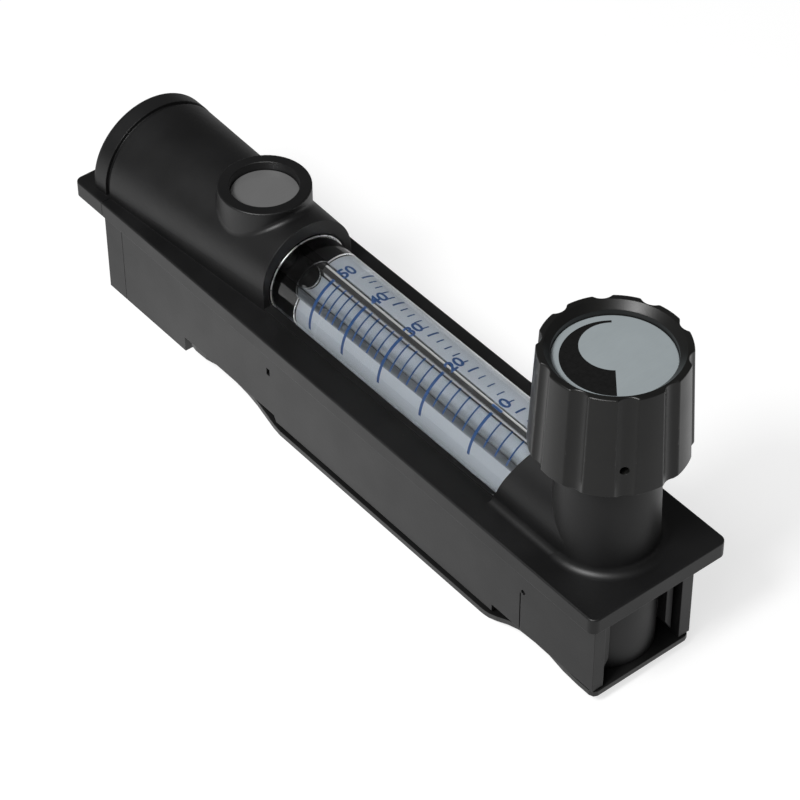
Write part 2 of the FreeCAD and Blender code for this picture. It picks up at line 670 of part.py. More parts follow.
# End cap closing the outlet end: last piece of flange, box and dome in one
def top_end_cap():
    body = new_body("top_end_cap")
    start = "cap_line + cap_gap"
    plan = sketch_on(body, "cap_flange_plan", "XY_Plane", FLANGE_LOW)
    rectangle(plan, "-flange_width/2", start, "flange_width/2", "flange_length/2")
    flange = extrude(body, "Pad", "cap_flange", plan, "flange_thick")
    far_end = value_of("flange_length/2")
    half = value_of("flange_width/2")
    corners = round_edges(
        body, "cap_flange_corners", flange,
        lambda e, m: abs(m.y - far_end) < 0.01 and abs(abs(m.x) - half) < 0.01, "flange_corner")
    front = value_of("front_level")
    joint = value_of(start)
    round_edges(
        body, "cap_flange_edge", corners,
        lambda e, m: abs(m.z - front) < 0.01 and m.y > joint + 0.01, "flange_edge")
    block = sketch_on(body, "cap_box_plan", "XY_Plane")
    rectangle(block, "-" + SKIRT_HALF, start, SKIRT_HALF, "skirt_length/2")
    extrude(body, "Pad", "cap_box", block, "front_level - 1")
    rebate = sketch_on(body, "cap_rebate_arch", "XZ_Plane", "-(%s)" % start)
    arch(rebate, "dome_far - seam_depth", "front_level + dome_far_rise", "front_level - 1")
    extrude(body, "Pad", "cap_rebate", rebate, "2", reverse=True)
    near = sketch_on(body, "cap_dome_near", "XZ_Plane", "-(cap_line + seam_width)")
    arch(near, "dome_far + 0.1", "front_level + dome_far_rise", "front_level - 1")
    far = sketch_on(body, "cap_dome_far", "XZ_Plane", "-dome_end")
    arch(far, "dome_tip", "front_level + dome_tip_rise", "front_level - 1")
    dome = loft(body, "AdditiveLoft", "cap_dome", [near, far])
    end = value_of("dome_end")
    round_edges(
        body, "cap_dome_edge", dome,
        lambda e, m: abs(m.y - end) < 0.01 and m.z > front + 0.5, "dome_round")
    spigot = sketch_on(body, "cap_spigot_plan", "XZ_Plane", "-(plug_low + plug_length + 0.1)")
    circle(spigot, "0", TUBE_AXIS, "plug_radius")
    extrude(body, "Pad", "cap_spigot", spigot, "plug_back + 1", reverse=True)
    hollow = sketch_on(body, "cap_hollow_plan", "XY_Plane", "-1")
    rectangle(hollow, "-(%s)" % INSIDE_HALF, "cap_line - 1", INSIDE_HALF, "skirt_length/2 - skirt_wall")
    extrude(body, "Pocket", "cap_hollow", hollow, "ceiling + 1", reverse=True)
    holes = sketch_on(body, "cap_holes", "XZ_Plane", "-cap_line")
    circle(holes, "-cap_screw_x", "front_level + cap_screw_rise", "screw_radius + 0.1")
    circle(holes, "cap_screw_x", "front_level + cap_screw_rise", "screw_radius + 0.1")
    extrude(body, "Pocket", "cap_holes_cut", holes, "10")
    sinks = sketch_on(body, "cap_sinks", "XZ_Plane", "-(dome_end - 1.8)")
    circle(sinks, "-cap_screw_x", "front_level + cap_screw_rise", "screw_head + 0.1")
    circle(sinks, "cap_screw_x", "front_level + cap_screw_rise", "screw_head + 0.1")
    extrude(body, "Pocket", "cap_sinks_cut", sinks, "10")
    return body


# Waisted rear plate, joggled so that its middle lies on the rear plane
def rear_plate():
    body = new_body("rear_plate")
    side = sketch_on(body, "plate_side", "YZ_Plane")
    levels = [
        ("plate_near", "plate_raise"),
        ("near_step - 7", "plate_raise"),
        ("near_step - 4.4", "plate_raise*0.8"),
        ("near_step + 0.4", "plate_raise*0.1"),
        ("near_step + 2.4", "0"),
        ("far_step - 1.6", "0"),
        ("far_step + 0.6", "plate_raise*0.1"),
        ("far_step + 6.4", "plate_raise*0.8"),
        ("far_step + 10", "plate_raise"),
        ("plate_far", "plate_raise"),
    ]
    upper = [(along, "plate_thick" if up == "0" else up + " + plate_thick")
             for along, up in reversed(levels)]
    outline(side, levels + upper)
    extrude(body, "Pad", "plate_blank", side, "2*plate_middle + 2", symmetric=True)
    plan = sketch_on(body, "plate_plan", "XY_Plane", "-1")
    stations = [
        ("plate_near", "plate_lobe - 1.1"),
        ("plate_near + 0.35", "plate_lobe - 0.35"),
        ("plate_near + 1.2", "plate_lobe"),
        ("plate_near + 4.5", "plate_lobe"),
        ("plate_near + 8.5", "plate_lobe - 0.2"),
        ("plate_near + 13", "plate_waist + 0.05"),
        ("plate_near + 17", "plate_waist"),
        ("plate_near + 21", "plate_waist + 0.2"),
        ("near_step - 1.6", "plate_middle - 0.2"),
        ("near_step + 1.4", "plate_middle"),
        ("far_step - 1.4", "plate_middle"),
        ("far_step + 1.6", "plate_middle - 0.2"),
        ("far_step + 13.5", "plate_waist + 0.2"),
        ("far_step + 17", "plate_waist"),
        ("far_step + 20.5", "plate_waist + 0.1"),
        ("plate_far - 6.5", "plate_lobe - 0.1"),
        ("plate_far - 3", "plate_lobe"),
        ("plate_far - 1.2", "plate_lobe - 0.3"),
        ("plate_far", "plate_lobe - 1.5"),
    ]
    right = [(half, along) for along, half in stations]
    left = [("-(%s)" % half, along) for along, half in reversed(stations)]
    outline(plan, right + left)
    rectangle(plan, "-plate_middle - 5", "plate_near - 5", "plate_middle + 5", "plate_far + 5")
    extrude(body, "Pocket", "plate_outline", plan, "10", reverse=True)
    holes = sketch_on(body, "plate_holes", "XY_Plane", "-1")
    circle(holes, "0", "valve_y", "port_radius + 0.3")
    circle(holes, "0", "outlet_y", "outlet_column + 0.3")
    circle(holes, "0", "post_near_y", "screw_radius + 0.15")
    circle(holes, "0", "post_far_y", "screw_radius + 0.15")
    extrude(body, "Pocket", "plate_holes_cut", holes, "10", reverse=True)
    for name, where in (("sink_near", "post_near_y"), ("sink_far", "post_far_y")):
        sink = sketch_on(body, name + "_section", "XZ_Plane", "-" + where)
        outline(sink, [
            ("0", "-0.5"),
            ("screw_head + 0.05", "-0.5"),
            ("screw_head + 0.05", "0"),
            ("screw_radius + 0.1", "plate_thick"),
            ("0", "plate_thick"),
        ])
        spin(body, "Groove", name + "_cut", sink)
    return body


def metering_tube():
    return turned("metering_tube", [
        ("stop_radius + fit", "0"),
        ("tube_radius - 0.4", "0"),
        ("tube_radius", "0.4"),
        ("tube_radius", "tube_length - 0.4"),
        ("tube_radius - 0.4", "tube_length"),
        ("stop_radius + fit", "tube_length"),
        ("stop_radius + fit", "tube_length - stop_thick"),
        ("bore_high", "tube_length - stop_thick"),
        ("bore_low", "stop_thick"),
        ("stop_radius + fit", "stop_thick"),
    ], along="tube_low", up=TUBE_AXIS, lying=True)


def scale_backing():
    body = new_body("scale_backing")
    sketch = sketch_on(body, "backing_section", "XZ_Plane", "-backing_low")
    sector(sketch, "backing_inner", "backing_inner + backing_thick", "backing_angle")
    extrude(body, "Pad", "backing_strip", sketch, "backing_high - backing_low", reverse=True)
    return body


def float_stop(label, along):
    """Perforated disc that keeps the ball in the tube."""
    body = new_body(label)
    sketch = sketch_on(body, label + "_plan", "XY_Plane")
    circle(sketch, "0", "0", "stop_radius")
    extrude(body, "Pad", label + "_disc", sketch, "stop_thick - 0.1")
    hole = sketch_on(body, label + "_hole_plan", "XY_Plane")
    circle(hole, "stop_radius*0.56", "0", "stop_radius*0.26")
    cut = extrude(body, "Pocket", label + "_hole", hole, "stop_thick", reverse=True)
    ways = body.newObject("PartDesign::PolarPattern", label + "_holes")
    ways.Originals = [cut]
    ways.Axis = (hole, ["N_Axis"])
    ways.Angle = 360
    ways.Occurrences = 3
    body.Tip = ways
    place(body, "0", along, TUBE_AXIS, lying=True)
    return body


def float_ball():
    return turned("float_ball", [
        ("0", "-float_radius", "float_radius", 1),
        ("float_radius", "0", "float_radius", 1),
        ("0", "float_radius"),
    ], along="tube_low + stop_thick + float_radius", up=TUBE_AXIS, lying=True)


def outlet_plug():
    first = "plug_reach - plug_seal_step"
    second = "plug_reach + plug_seal_step"
    deep = "plug_radius - plug_groove"
    corners = [("flow_bore", "0"), ("plug_radius - 0.4", "0"), ("plug_radius", "0.4")]
    for centre in (first, second):
        corners += [
            ("plug_radius", centre + " - 0.9"),
            (deep, centre + " - 0.9"),
            (deep, centre + " + 0.9"),
            ("plug_radius", centre + " + 0.9"),
        ]
    corners += [
        ("plug_radius", "plug_length"),
        ("0", "plug_length"),
        ("0", "outlet_y - plug_low + flow_bore"),
        ("flow_bore", "outlet_y - plug_low + flow_bore"),
    ]
    body = turned("outlet_plug", corners, along="plug_low", up=TUBE_AXIS, lying=True)
    side = sketch_on(body, "plug_side_hole", "XZ_Plane")
    circle(side, "0", "outlet_y - plug_low", "flow_bore - 0.3")
    extrude(body, "Pocket", "plug_side_hole_cut", side, "plug_radius + 1")
    return body


def port_insert(label, along, level):
    """Female threaded port, plain at its tapping size, with two grip grooves outside."""
    grip = "port_radius - 0.4"
    return turned(label, [
        ("port_mouth + 0.6", "0"),
        ("port_radius - 0.3", "0"),
        ("port_radius", "0.3"),
        ("port_radius", "4"),
        (grip, "4.4"),
        (grip, "5.2"),
        ("port_radius", "5.6"),
        ("port_radius", "9"),
        (grip, "9.4"),
        (grip, "10.2"),
        ("port_radius", "10.6"),
        ("port_radius", "port_length"),
        ("2", "port_length"),
        ("2", "port_depth + 0.8"),
        ("port_mouth", "port_depth"),
        ("port_mouth", "0.6"),
    ], along=along, up=level)


def valve_seat():
    return turned("valve_seat", [
        ("orifice", "0"),
        ("seat_radius", "0"),
        ("seat_radius", "seat_high - seat_low"),
        ("orifice + 0.9", "seat_high - seat_low"),
        ("orifice", "seat_high - seat_low - 0.5"),
    ], along="valve_y", up="seat_low")


def valve_needle():
    body = new_body("valve_needle")
    sketch = sketch_on(body, "needle_section", "XZ_Plane")
    outline(sketch, [
        ("0", "0"),
        ("orifice - 0.6", "0"),
        ("orifice - 0.06", "2"),
        ("2.6", "5"),
        ("2.6", "needle_shoulder - needle_tip + 0.5"),
        ("0", "needle_shoulder - needle_tip + 0.5"),
    ])
    spin(body, "Revolution", "needle_cone", sketch)
    hexed = sketch_on(body, "needle_hexagon", "XY_Plane", "needle_shoulder - needle_tip")
    hexagon(hexed, "needle_flats")
    extrude(body, "Pad", "needle_guide", hexed, "needle_top - needle_shoulder")
    hole = sketch_on(body, "needle_thread_plan", "XY_Plane", "needle_hole - needle_tip")
    circle(hole, "0", "0", "thread_radius + fit")
    extrude(body, "Pocket", "needle_thread", hole, "needle_top - needle_hole + 1", reverse=True)
    place(body, "0", "valve_y", "needle_tip")
    return body


def valve_stem():
    return turned("valve_stem", [
        ("0", "0"),
        ("thread_radius - 0.2", "0"),
        ("thread_radius", "0.2"),
        ("thread_radius", "collar_low - stem_low"),
        ("collar_radius", "collar_low - stem_low"),
        ("collar_radius", "collar_high - stem_low"),
        ("stem_radius", "collar_high - stem_low"),
        ("stem_radius", "stem_top - stem_low - 0.4"),
        ("stem_radius - 0.4", "stem_top - stem_low"),
        ("0", "stem_top - stem_low"),
    ], along="valve_y", up="stem_low")


def valve_bushing():
    body = turned("valve_bushing", [
        ("collar_radius + fit", "0"),
        ("bushing_radius", "0"),
        ("bushing_radius", "bushing_high - bushing_low"),
        ("gland_radius + fit", "bushing_high - bushing_low"),
        ("gland_radius + fit", "gland_low - bushing_low - fit"),
        ("collar_radius + fit", "gland_low - bushing_low - fit"),
    ], along="valve_y", up="bushing_low")
    guide = sketch_on(body, "guide_plan", "XY_Plane")
    hexagon(guide, "guide_flats")
    extrude(body, "Pocket", "guide_cut", guide, "collar_low - bushing_low - fit", reverse=True)
    return body


def gland_nut():
    body = turned("gland_nut", [
        ("stem_radius + fit", "0"),
        ("gland_radius", "0"),
        ("gland_radius", "bushing_high - gland_low + 0.3"),
        ("stem_radius + fit", "bushing_high - gland_low + 0.3"),
    ], along="valve_y", up="gland_low")
    head = sketch_on(body, "gland_head_plan", "XY_Plane", "bushing_high - gland_low + 0.3")
    hexagon(head, "gland_flats")
    circle(head, "0", "0", "stem_radius + fit")
    extrude(body, "Pad", "gland_head", head, "gland_top - bushing_high - 0.3")
    return body


# Control knob: tapered body, ten shallow flutes, hollow underside with a hub
def knob():
    body = new_body("knob")
    sketch = sketch_on(body, "knob_section", "XZ_Plane")
    outline(sketch, [
        ("knob_hollow", "0"),
        ("knob_base - 0.5", "0"),
        ("knob_base", "0.5"),
        ("knob_head", "knob_high - knob_low"),
        ("dial_radius + dish_wide", "knob_high - knob_low"),
        ("dial_radius + fit", "knob_high - knob_low - dish_step"),
        ("dial_radius + fit", "dial_floor - knob_low"),
        ("0", "dial_floor - knob_low"),
        ("0", "stem_top + 0.2 - knob_low"),
        ("stem_radius + fit", "stem_top + 0.2 - knob_low"),
        ("stem_radius + fit", "hub_low - knob_low"),
        ("hub_radius", "hub_low - knob_low"),
        ("hub_radius", "knob_web - knob_low"),
        ("knob_hollow", "knob_web - knob_low"),
    ])
    spin(body, "Revolution", "knob_form", sketch)
    flute = body.newObject("PartDesign::SubtractiveCylinder", "flute")
    flute.setExpression("Radius", bind("flute_radius"))
    flute.setExpression("Height", bind("2*(knob_high - knob_low)"))
    rise = value_of("knob_high - knob_low")
    lean = math.degrees(math.atan2(value_of("knob_base - knob_head"), rise))
    reach = value_of("knob_base + flute_radius - flute_depth") + 0.5 * rise * math.tan(math.radians(lean))
    flute.Placement = FreeCAD.Placement(
        FreeCAD.Vector(reach, 0, -0.5 * rise),
        FreeCAD.Rotation(FreeCAD.Vector(0, 1, 0), -lean))
    ring_of = body.newObject("PartDesign::PolarPattern", "flutes")
    ring_of.Originals = [flute]
    ring_of.Axis = (origin_item(body, "Z_Axis"), [""])
    ring_of.Angle = 360
    ring_of.setExpression("Occurrences", bind("knob_lobes"))
    body.Tip = ring_of
    crest = value_of("knob_head") - 0.2
    softened = round_edges(
        body, "flute_edges", ring_of,
        lambda e, m: e.Length > 0.5 * rise and math.hypot(m.x, m.y) > crest,
        "flute_round")
    outside = value_of("dial_radius + dish_wide") + 0.1
    round_edges(
        body, "knob_top_edge", softened,
        lambda e, m: abs(m.z - rise) < 0.01 and math.hypot(m.x, m.y) > outside,
        "knob_edge")
    hole = sketch_on(body, "grub_hole", "YZ_Plane")
    circle(hole, "0", "grub_level - knob_low", "grub_radius + fit")
    extrude(body, "Pocket", "grub_hole_cut", hole, "knob_base + 2", reverse=True)
    place(body, "0", "valve_y", "knob_low")
    turn = FreeCAD.Rotation(FreeCAD.Vector(0, 0, 1), value_of("grub_angle"))
    body.Placement = FreeCAD.Placement(body.Placement.Base, turn)
    return body


def knob_set_screw():
    """Grub screw lying along the radius of the hub."""
    body = new_body("knob_set_screw")
    sketch = sketch_on(body, "grub_section", "YZ_Plane", "stem_radius + 0.1")
    circle(sketch, "0", "0", "grub_radius")
    extrude(body, "Pad", "grub", sketch, "4")
    socket = sketch_on(body, "grub_socket", "YZ_Plane", "stem_radius + 4.1")
    hexagon(socket, "grub_radius*0.9")
    extrude(body, "Pocket", "grub_socket_cut", socket, "1")
    place(body, "0", "valve_y", "grub_level")
    turn = FreeCAD.Rotation(FreeCAD.Vector(0, 0, 1), value_of("grub_angle"))
    body.Placement = FreeCAD.Placement(body.Placement.Base, turn)
    return body


def plain_disc(label, radius, thick, along, level):
    return turned(label, [
        ("0", "0"),
        (radius, "0"),
        (radius, "%s - 0.15" % thick),
        ("%s - 0.15" % radius, thick),
        ("0", thick),
    ], along=along, up=level)


def plate_screw(label, along):
    """Countersunk screw that holds the rear plate, its head just inside the rear plane."""
    body = turned(label, [
        ("0", "0"),
        ("screw_head - 0.1", "0"),
        ("screw_radius", "plate_thick - 0.1"),
        ("screw_radius", "9.5"),
        ("screw_radius - 0.5", "10.2"),
        ("0", "10.2"),
    ], along=along, up="0.1")
    slot = sketch_on(body, label + "_slot_plan", "XY_Plane", "0.5")
    rectangle(slot, "-screw_head", "-screw_slot", "screw_head", "screw_slot")
    extrude(body, "Pocket", label + "_slot", slot, "1")
    return body


def cap_screw(label, side):
    """Cheese head screw through the end cap into the body."""
    body = turned(label, [
        ("0", "0"),
        ("screw_radius - 0.4", "0"),
        ("screw_radius", "0.5"),
        ("screw_radius", "8.6"),
        ("screw_head", "8.6"),
        ("screw_head", "10.1"),
        ("0", "10.1"),
    ], across="%s*cap_screw_x" % side, along="dome_end - 1.75 - 8.6",
        up="front_level + cap_screw_rise", lying=True)
    slot = sketch_on(body, label + "_slot_plan", "XY_Plane", "10.1")
    rectangle(slot, "-screw_head - 0.5", "-screw_slot", "screw_head + 0.5", "screw_slot")
    extrude(body, "Pocket", label + "_slot", slot, "0.7")
    return body


pieces = [
    meter_body(),
    top_end_cap(),
    rear_plate(),
    metering_tube(),
    scale_backing(),
    float_stop("float_stop_lower", "tube_low + 0.05"),
    float_stop("float_stop_upper", "tube_low + tube_length - stop_thick + 0.05"),
    float_ball(),
    ring("tube_seal_lower", "seal_ring", "seal_wire", "tube_low - seal_gap/2", TUBE_AXIS, True),
    ring("tube_seal_upper", "seal_ring", "seal_wire", "tube_low + tube_length + seal_gap/2",
         TUBE_AXIS, True),
    outlet_plug(),
    ring("plug_seal_inner", "plug_radius - plug_seal_wire - 0.02", "plug_seal_wire",
         "outlet_y - plug_seal_step", TUBE_AXIS, True),
    ring("plug_seal_outer", "plug_radius - plug_seal_wire - 0.02", "plug_seal_wire",
         "outlet_y + plug_seal_step", TUBE_AXIS, True),
    port_insert("inlet_port", "valve_y", "inlet_level"),
    port_insert("outlet_port", "outlet_y", "outlet_level"),
    valve_seat(),
    valve_needle(),
    valve_stem(),
    valve_bushing(),
    ring("stem_seal", "stem_radius + 0.43", "0.38", "valve_y", "collar_high + 0.5"),
    gland_nut(),
    knob(),
    plain_disc("knob_dial", "dial_radius", "dial_thick", "valve_y", "dial_floor"),
    knob_set_screw(),
    plain_disc("badge_disc", "badge_recess - fit", "badge_thick", "badge_y", "badge_floor"),
    plate_screw("plate_screw_near", "post_near_y"),
    plate_screw("plate_screw_far", "post_far_y"),
    cap_screw("cap_screw_left", "-1"),
    cap_screw("cap_screw_right", "1"),
]

doc.recompute()
for item in doc.Objects:
    if "Invalid" in item.State or "Error" in item.State:
        raise RuntimeError("%s is not valid: %s" % (item.Name, item.State))
for piece in pieces:
    if piece.Shape.isNull() or not piece.Shape.isValid() or len(piece.Shape.Solids) != 1:
        raise RuntimeError("%s has no valid solid" % piece.Label)
for piece in pieces:
    piece.Shape.exportStep("parts/%s.step" % piece.Label)
    print("%-18s %9.1f mm3" % (piece.Label, piece.Shape.Volume), piece.Shape.BoundBox)
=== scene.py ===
import json
import math

import bmesh
import bpy
import numpy as np
from bpy.props import FloatProperty, FloatVectorProperty, IntProperty, PointerProperty
from mathutils import Matrix, Vector


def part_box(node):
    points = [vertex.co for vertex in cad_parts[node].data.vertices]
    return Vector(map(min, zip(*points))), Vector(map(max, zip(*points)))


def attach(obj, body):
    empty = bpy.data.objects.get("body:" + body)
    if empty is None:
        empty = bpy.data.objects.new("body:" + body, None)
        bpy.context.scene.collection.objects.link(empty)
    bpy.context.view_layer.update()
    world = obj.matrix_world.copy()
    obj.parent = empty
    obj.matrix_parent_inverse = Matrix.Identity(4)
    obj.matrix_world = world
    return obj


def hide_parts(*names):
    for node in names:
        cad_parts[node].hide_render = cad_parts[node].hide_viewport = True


bl_info = {
    "name": "Panel flow meter looks",
    "version": (1, 0, 0),
    "blender": (4, 5, 0),
    "location": "View3D > Sidebar > Flow meter",
    "description": "Finishes, printed scale, clear tube and studio for a panel flow meter",
    "category": "Object",
}

# The fixed frame: every solid of the meter, in metres, with its place in its mesh.
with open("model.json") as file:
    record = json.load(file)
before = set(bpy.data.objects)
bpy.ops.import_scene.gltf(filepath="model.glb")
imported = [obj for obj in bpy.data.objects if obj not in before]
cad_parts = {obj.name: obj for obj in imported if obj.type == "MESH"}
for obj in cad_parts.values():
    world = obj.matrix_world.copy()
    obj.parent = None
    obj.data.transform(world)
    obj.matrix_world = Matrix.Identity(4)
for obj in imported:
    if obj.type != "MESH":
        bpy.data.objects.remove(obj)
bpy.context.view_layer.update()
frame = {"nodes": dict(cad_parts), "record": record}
MM = 0.001

TUBE_LOW, TUBE_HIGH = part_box("metering_tube")
DIAL_LOW, DIAL_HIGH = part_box("knob_dial")
BADGE_LOW, BADGE_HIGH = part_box("badge_disc")
TUBE_LEVEL = (TUBE_LOW.z + TUBE_HIGH.z) / 2
TUBE_RADIUS = (TUBE_HIGH.z - TUBE_LOW.z) / 2
KNOB_Y = (DIAL_LOW.y + DIAL_HIGH.y) / 2
DIAL_RADIUS = (DIAL_HIGH.x - DIAL_LOW.x) / 2
PORT_PLACES = [sum(corner.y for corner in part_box(port)) / 2 for port in ("inlet_port", "outlet_port")]
WINDOW_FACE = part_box("scale_backing")[1].y + 0.3 * MM

# Printed scale: reading and its place along the tube, in metres.
READINGS = np.array([50.0, 40.0, 30.0, 20.0, 10.0])
READING_PLACES = np.array([10.5, 0.7, -10.1, -22.3, -36.1]) * MM

# Ends of the printed arcs in degrees about the tube axis, at readings 10 and 50. The second set is
# right of the numbers, with narrower lines.
LONG_FROM, LONG_TO = (-82, -94.5), (-20.8, -17.5)
SHORT_FROM, SHORT_TO = (-60, -64.5), (-22.3, -17.5)
SECOND_LONG_FROM, SECOND_LONG_TO = (-2, 10), (14, 30)
SECOND_SHORT_FROM, SECOND_SHORT_TO = (0, 12), (12, 24)
SECOND_LONG_SHARE, SECOND_SHORT_SHARE = 0.7, 0.9
NUMBER_MIDDLE = (-4.5, 3)
STRIP_WIDTH = 0.12 * MM

# Crescent on the dial: its span and the heading of the smaller circle, in degrees.
CRESCENT_SPAN = (51.5, 230.5)
CRESCENT_TOWARDS = 51.0
DIAL_INK_GAP = 0.003 * MM

SHARP_ANGLE = math.radians(30)
ARC_STEP = math.radians(2)
DUST_COLOUR = (0.22, 0.21, 0.2)


# Settings

class FlowMeterSizes(bpy.types.PropertyGroup):
    bore_low: FloatProperty(
        name="Bore, inlet end", description="Radius of the tapered bore at the inlet end",
        default=2.43 * MM, unit="LENGTH")
    bore_high: FloatProperty(
        name="Bore, outlet end", description="Radius of the tapered bore at the outlet end",
        default=2.65 * MM, unit="LENGTH")
    tube_steps: IntProperty(
        name="Tube steps", description="Faces around the clear tube", default=192, min=24)
    long_mark: FloatProperty(
        name="Long mark width", description="Width of the printed rings at each numbered reading",
        default=0.65 * MM, unit="LENGTH")
    short_mark: FloatProperty(
        name="Short mark width", description="Width of the printed rings between the numbers",
        default=0.36 * MM, unit="LENGTH")
    numeral_height: FloatProperty(
        name="Numeral height", description="Height of the printed numbers",
        default=2.55 * MM, unit="LENGTH")
    ink_gap: FloatProperty(
        name="Ink gap", description="Gap that keeps the ink clear of the glass",
        default=0.006 * MM, unit="LENGTH")
    ink_thickness: FloatProperty(
        name="Ink thickness", description="Thickness of printed ink on tube and dial",
        default=0.02 * MM, unit="LENGTH")
    second_scale: FloatProperty(
        name="Second scale", description="Place of the marks right of the numbers against the others",
        default=-3.2 * MM, unit="LENGTH")
    stop_radius: FloatProperty(
        name="Stop seat radius", description="Radius of the seats for the float stops",
        default=3.95 * MM, unit="LENGTH")
    stop_depth: FloatProperty(
        name="Stop seat depth", description="Depth of the seats for the float stops",
        default=2.0 * MM, unit="LENGTH")
    rim_bevel: FloatProperty(
        name="Tube rim", description="Bevel at the ends of the tube", default=0.4 * MM, unit="LENGTH")
    ring_wire: FloatProperty(
        name="Mouth ring wire", description="Radius of the wire of the bright ring",
        default=0.15 * MM, unit="LENGTH")
    ring_gap: FloatProperty(
        name="Mouth ring gap", description="Gap between the bright ring and the tube",
        default=0.02 * MM, unit="LENGTH")
    crescent_outer: FloatProperty(
        name="Crescent, outer", description="Radius of the crescent's outer edge on the dial",
        default=9.5 * MM, unit="LENGTH")
    crescent_inner: FloatProperty(
        name="Crescent, inner", description="Radius of the circle cut out of the crescent",
        default=6.05 * MM, unit="LENGTH")
    crescent_offset: FloatProperty(
        name="Crescent offset", description="Distance of that circle from the dial's centre",
        default=2.9 * MM, unit="LENGTH")


class FlowMeterColours(bpy.types.PropertyGroup):
    body: FloatVectorProperty(
        name="Body", description="Moulded body, end cap and flange", subtype="COLOR",
        default=(0.0045, 0.0045, 0.0047), min=0, max=1)
    plate: FloatVectorProperty(
        name="Rear plate", description="Moulded rear plate", subtype="COLOR",
        default=(0.008, 0.008, 0.008), min=0, max=1)
    knob: FloatVectorProperty(
        name="Knob", description="Moulded knob", subtype="COLOR",
        default=(0.0055, 0.0055, 0.0052), min=0, max=1)
    ink: FloatVectorProperty(
        name="Scale ink", description="Blue ink of the printed scale", subtype="COLOR",
        default=(0.02, 0.062, 0.18), min=0, max=1)
    backing: FloatVectorProperty(
        name="Backing", description="White strip behind the tube", subtype="COLOR",
        default=(0.64, 0.68, 0.74), min=0, max=1)
    dial: FloatVectorProperty(
        name="Dial", description="Silver disc on the knob", subtype="COLOR",
        default=(0.33, 0.37, 0.385), min=0, max=1)
    badge: FloatVectorProperty(
        name="Badge", description="Bare disc on the dome", subtype="COLOR",
        default=(0.218, 0.218, 0.218), min=0, max=1)


class FlowMeterStage(bpy.types.PropertyGroup):
    azimuth: FloatProperty(
        name="Camera azimuth", description="Direction of the camera, 0 from the inlet end",
        default=math.radians(-38.77), subtype="ANGLE")
    elevation: FloatProperty(
        name="Camera elevation", description="Height of the camera above the horizon",
        default=math.radians(43.12), subtype="ANGLE")
    roll: FloatProperty(
        name="Camera roll", description="Turn of the camera about its own axis",
        default=math.radians(-0.41), subtype="ANGLE")
    distance: FloatProperty(
        name="Camera distance", description="Camera to the front face of the flange",
        default=598.42 * MM, unit="LENGTH")
    aside: FloatProperty(
        name="Camera aside", description="Camera to the side of the middle of the flange",
        default=3.691 * MM, unit="LENGTH")
    above: FloatProperty(
        name="Camera above", description="Camera above the middle of the flange",
        default=-9.835 * MM, unit="LENGTH")
    lens: FloatProperty(
        name="Lens", description="Focal length in millimetres on a 36 mm sensor",
        default=142.02, min=1)
    floor: FloatVectorProperty(
        name="Floor", description="Pale floor", subtype="COLOR", default=(0.42, 0.42, 0.42), min=0, max=1)
    floor_lift: FloatProperty(
        name="Floor lift", description="Glow that lifts the lit floor to white", default=0.7, min=0)
    key_power: FloatProperty(
        name="Key lamp", description="Strength of the large lamp above the camera, in watts",
        default=10.0, min=0)
    key_azimuth: FloatProperty(
        name="Key azimuth", description="Direction of the large lamp round the meter",
        default=math.radians(-75), subtype="ANGLE")
    key_elevation: FloatProperty(
        name="Key elevation", description="Height of the large lamp above the horizon",
        default=math.radians(55), subtype="ANGLE")
    side_power: FloatProperty(
        name="Side lamp", description="Strength of the small lamp inside the large one, in watts",
        default=7.0, min=0)
    side_elevation: FloatProperty(
        name="Side elevation", description="Height of the small lamp above the horizon",
        default=math.radians(51.5), subtype="ANGLE")
    key_size: FloatProperty(
        name="Key lamp size", description="Width of the large lamp", default=0.9, unit="LENGTH")
    side_size: FloatProperty(
        name="Side lamp size", description="Width of the small lamp", default=0.25, unit="LENGTH")
    lamp_distance: FloatProperty(
        name="Lamp distance", description="Lamps to the middle of the meter", default=1.3, unit="LENGTH")
    ambient: FloatProperty(
        name="Ambient", description="Strength of the light from all round", default=0.1, min=0)
    target: FloatProperty(
        name="Target height", description="Height that the camera is measured from",
        default=28.0 * MM, unit="LENGTH")
    floor_drop: FloatProperty(
        name="Floor drop", description="Floor below the lowest face of the meter",
        default=0.05 * MM, unit="LENGTH")


# Shader nodes

class Nodes:
    """Lays out the nodes of one material or group; links and values go in by socket name."""

    def __init__(self, tree):
        self.tree = tree

    def add(self, kind, inputs=None, **attributes):
        node = self.tree.nodes.new("ShaderNode" + kind)
        for name, value in attributes.items():
            setattr(node, name, value)
        for name, value in (inputs or {}).items():
            self.put(node, name, value)
        return node

    def put(self, node, name, value):
        socket = node.inputs[name]
        if isinstance(value, bpy.types.NodeSocket):
            self.tree.links.new(value, socket)
        elif isinstance(value, bpy.types.Node):
            self.tree.links.new(value.outputs[0], socket)
        elif socket.type == "RGBA" and len(value) == 3:
            socket.default_value = (*value, 1.0)
        else:
            socket.default_value = value

    def math(self, operation, first, second=0.0, third=0.0, clamp=False):
        node = self.add("Math", {0: first, 1: second, 2: third}, operation=operation)
        node.use_clamp = clamp
        return node.outputs[0]

    def blend(self, factor, first, second):
        """Colour mix."""
        node = self.add("Mix", data_type="RGBA")
        for index, value in ((0, factor), (6, first), (7, second)):
            self.put(node, index, value)
        return node.outputs[2]

    def remap(self, value, low, high, to_low=0.0, to_high=1.0):
        node = self.add("MapRange", {0: value, 1: low, 2: high, 3: to_low, 4: to_high})
        node.clamp = True
        return node.outputs[0]

    def group(self, tree, **inputs):
        node = self.add("Group", node_tree=tree)
        for name, value in inputs.items():
            self.put(node, name.replace("_", " "), value)
        return node


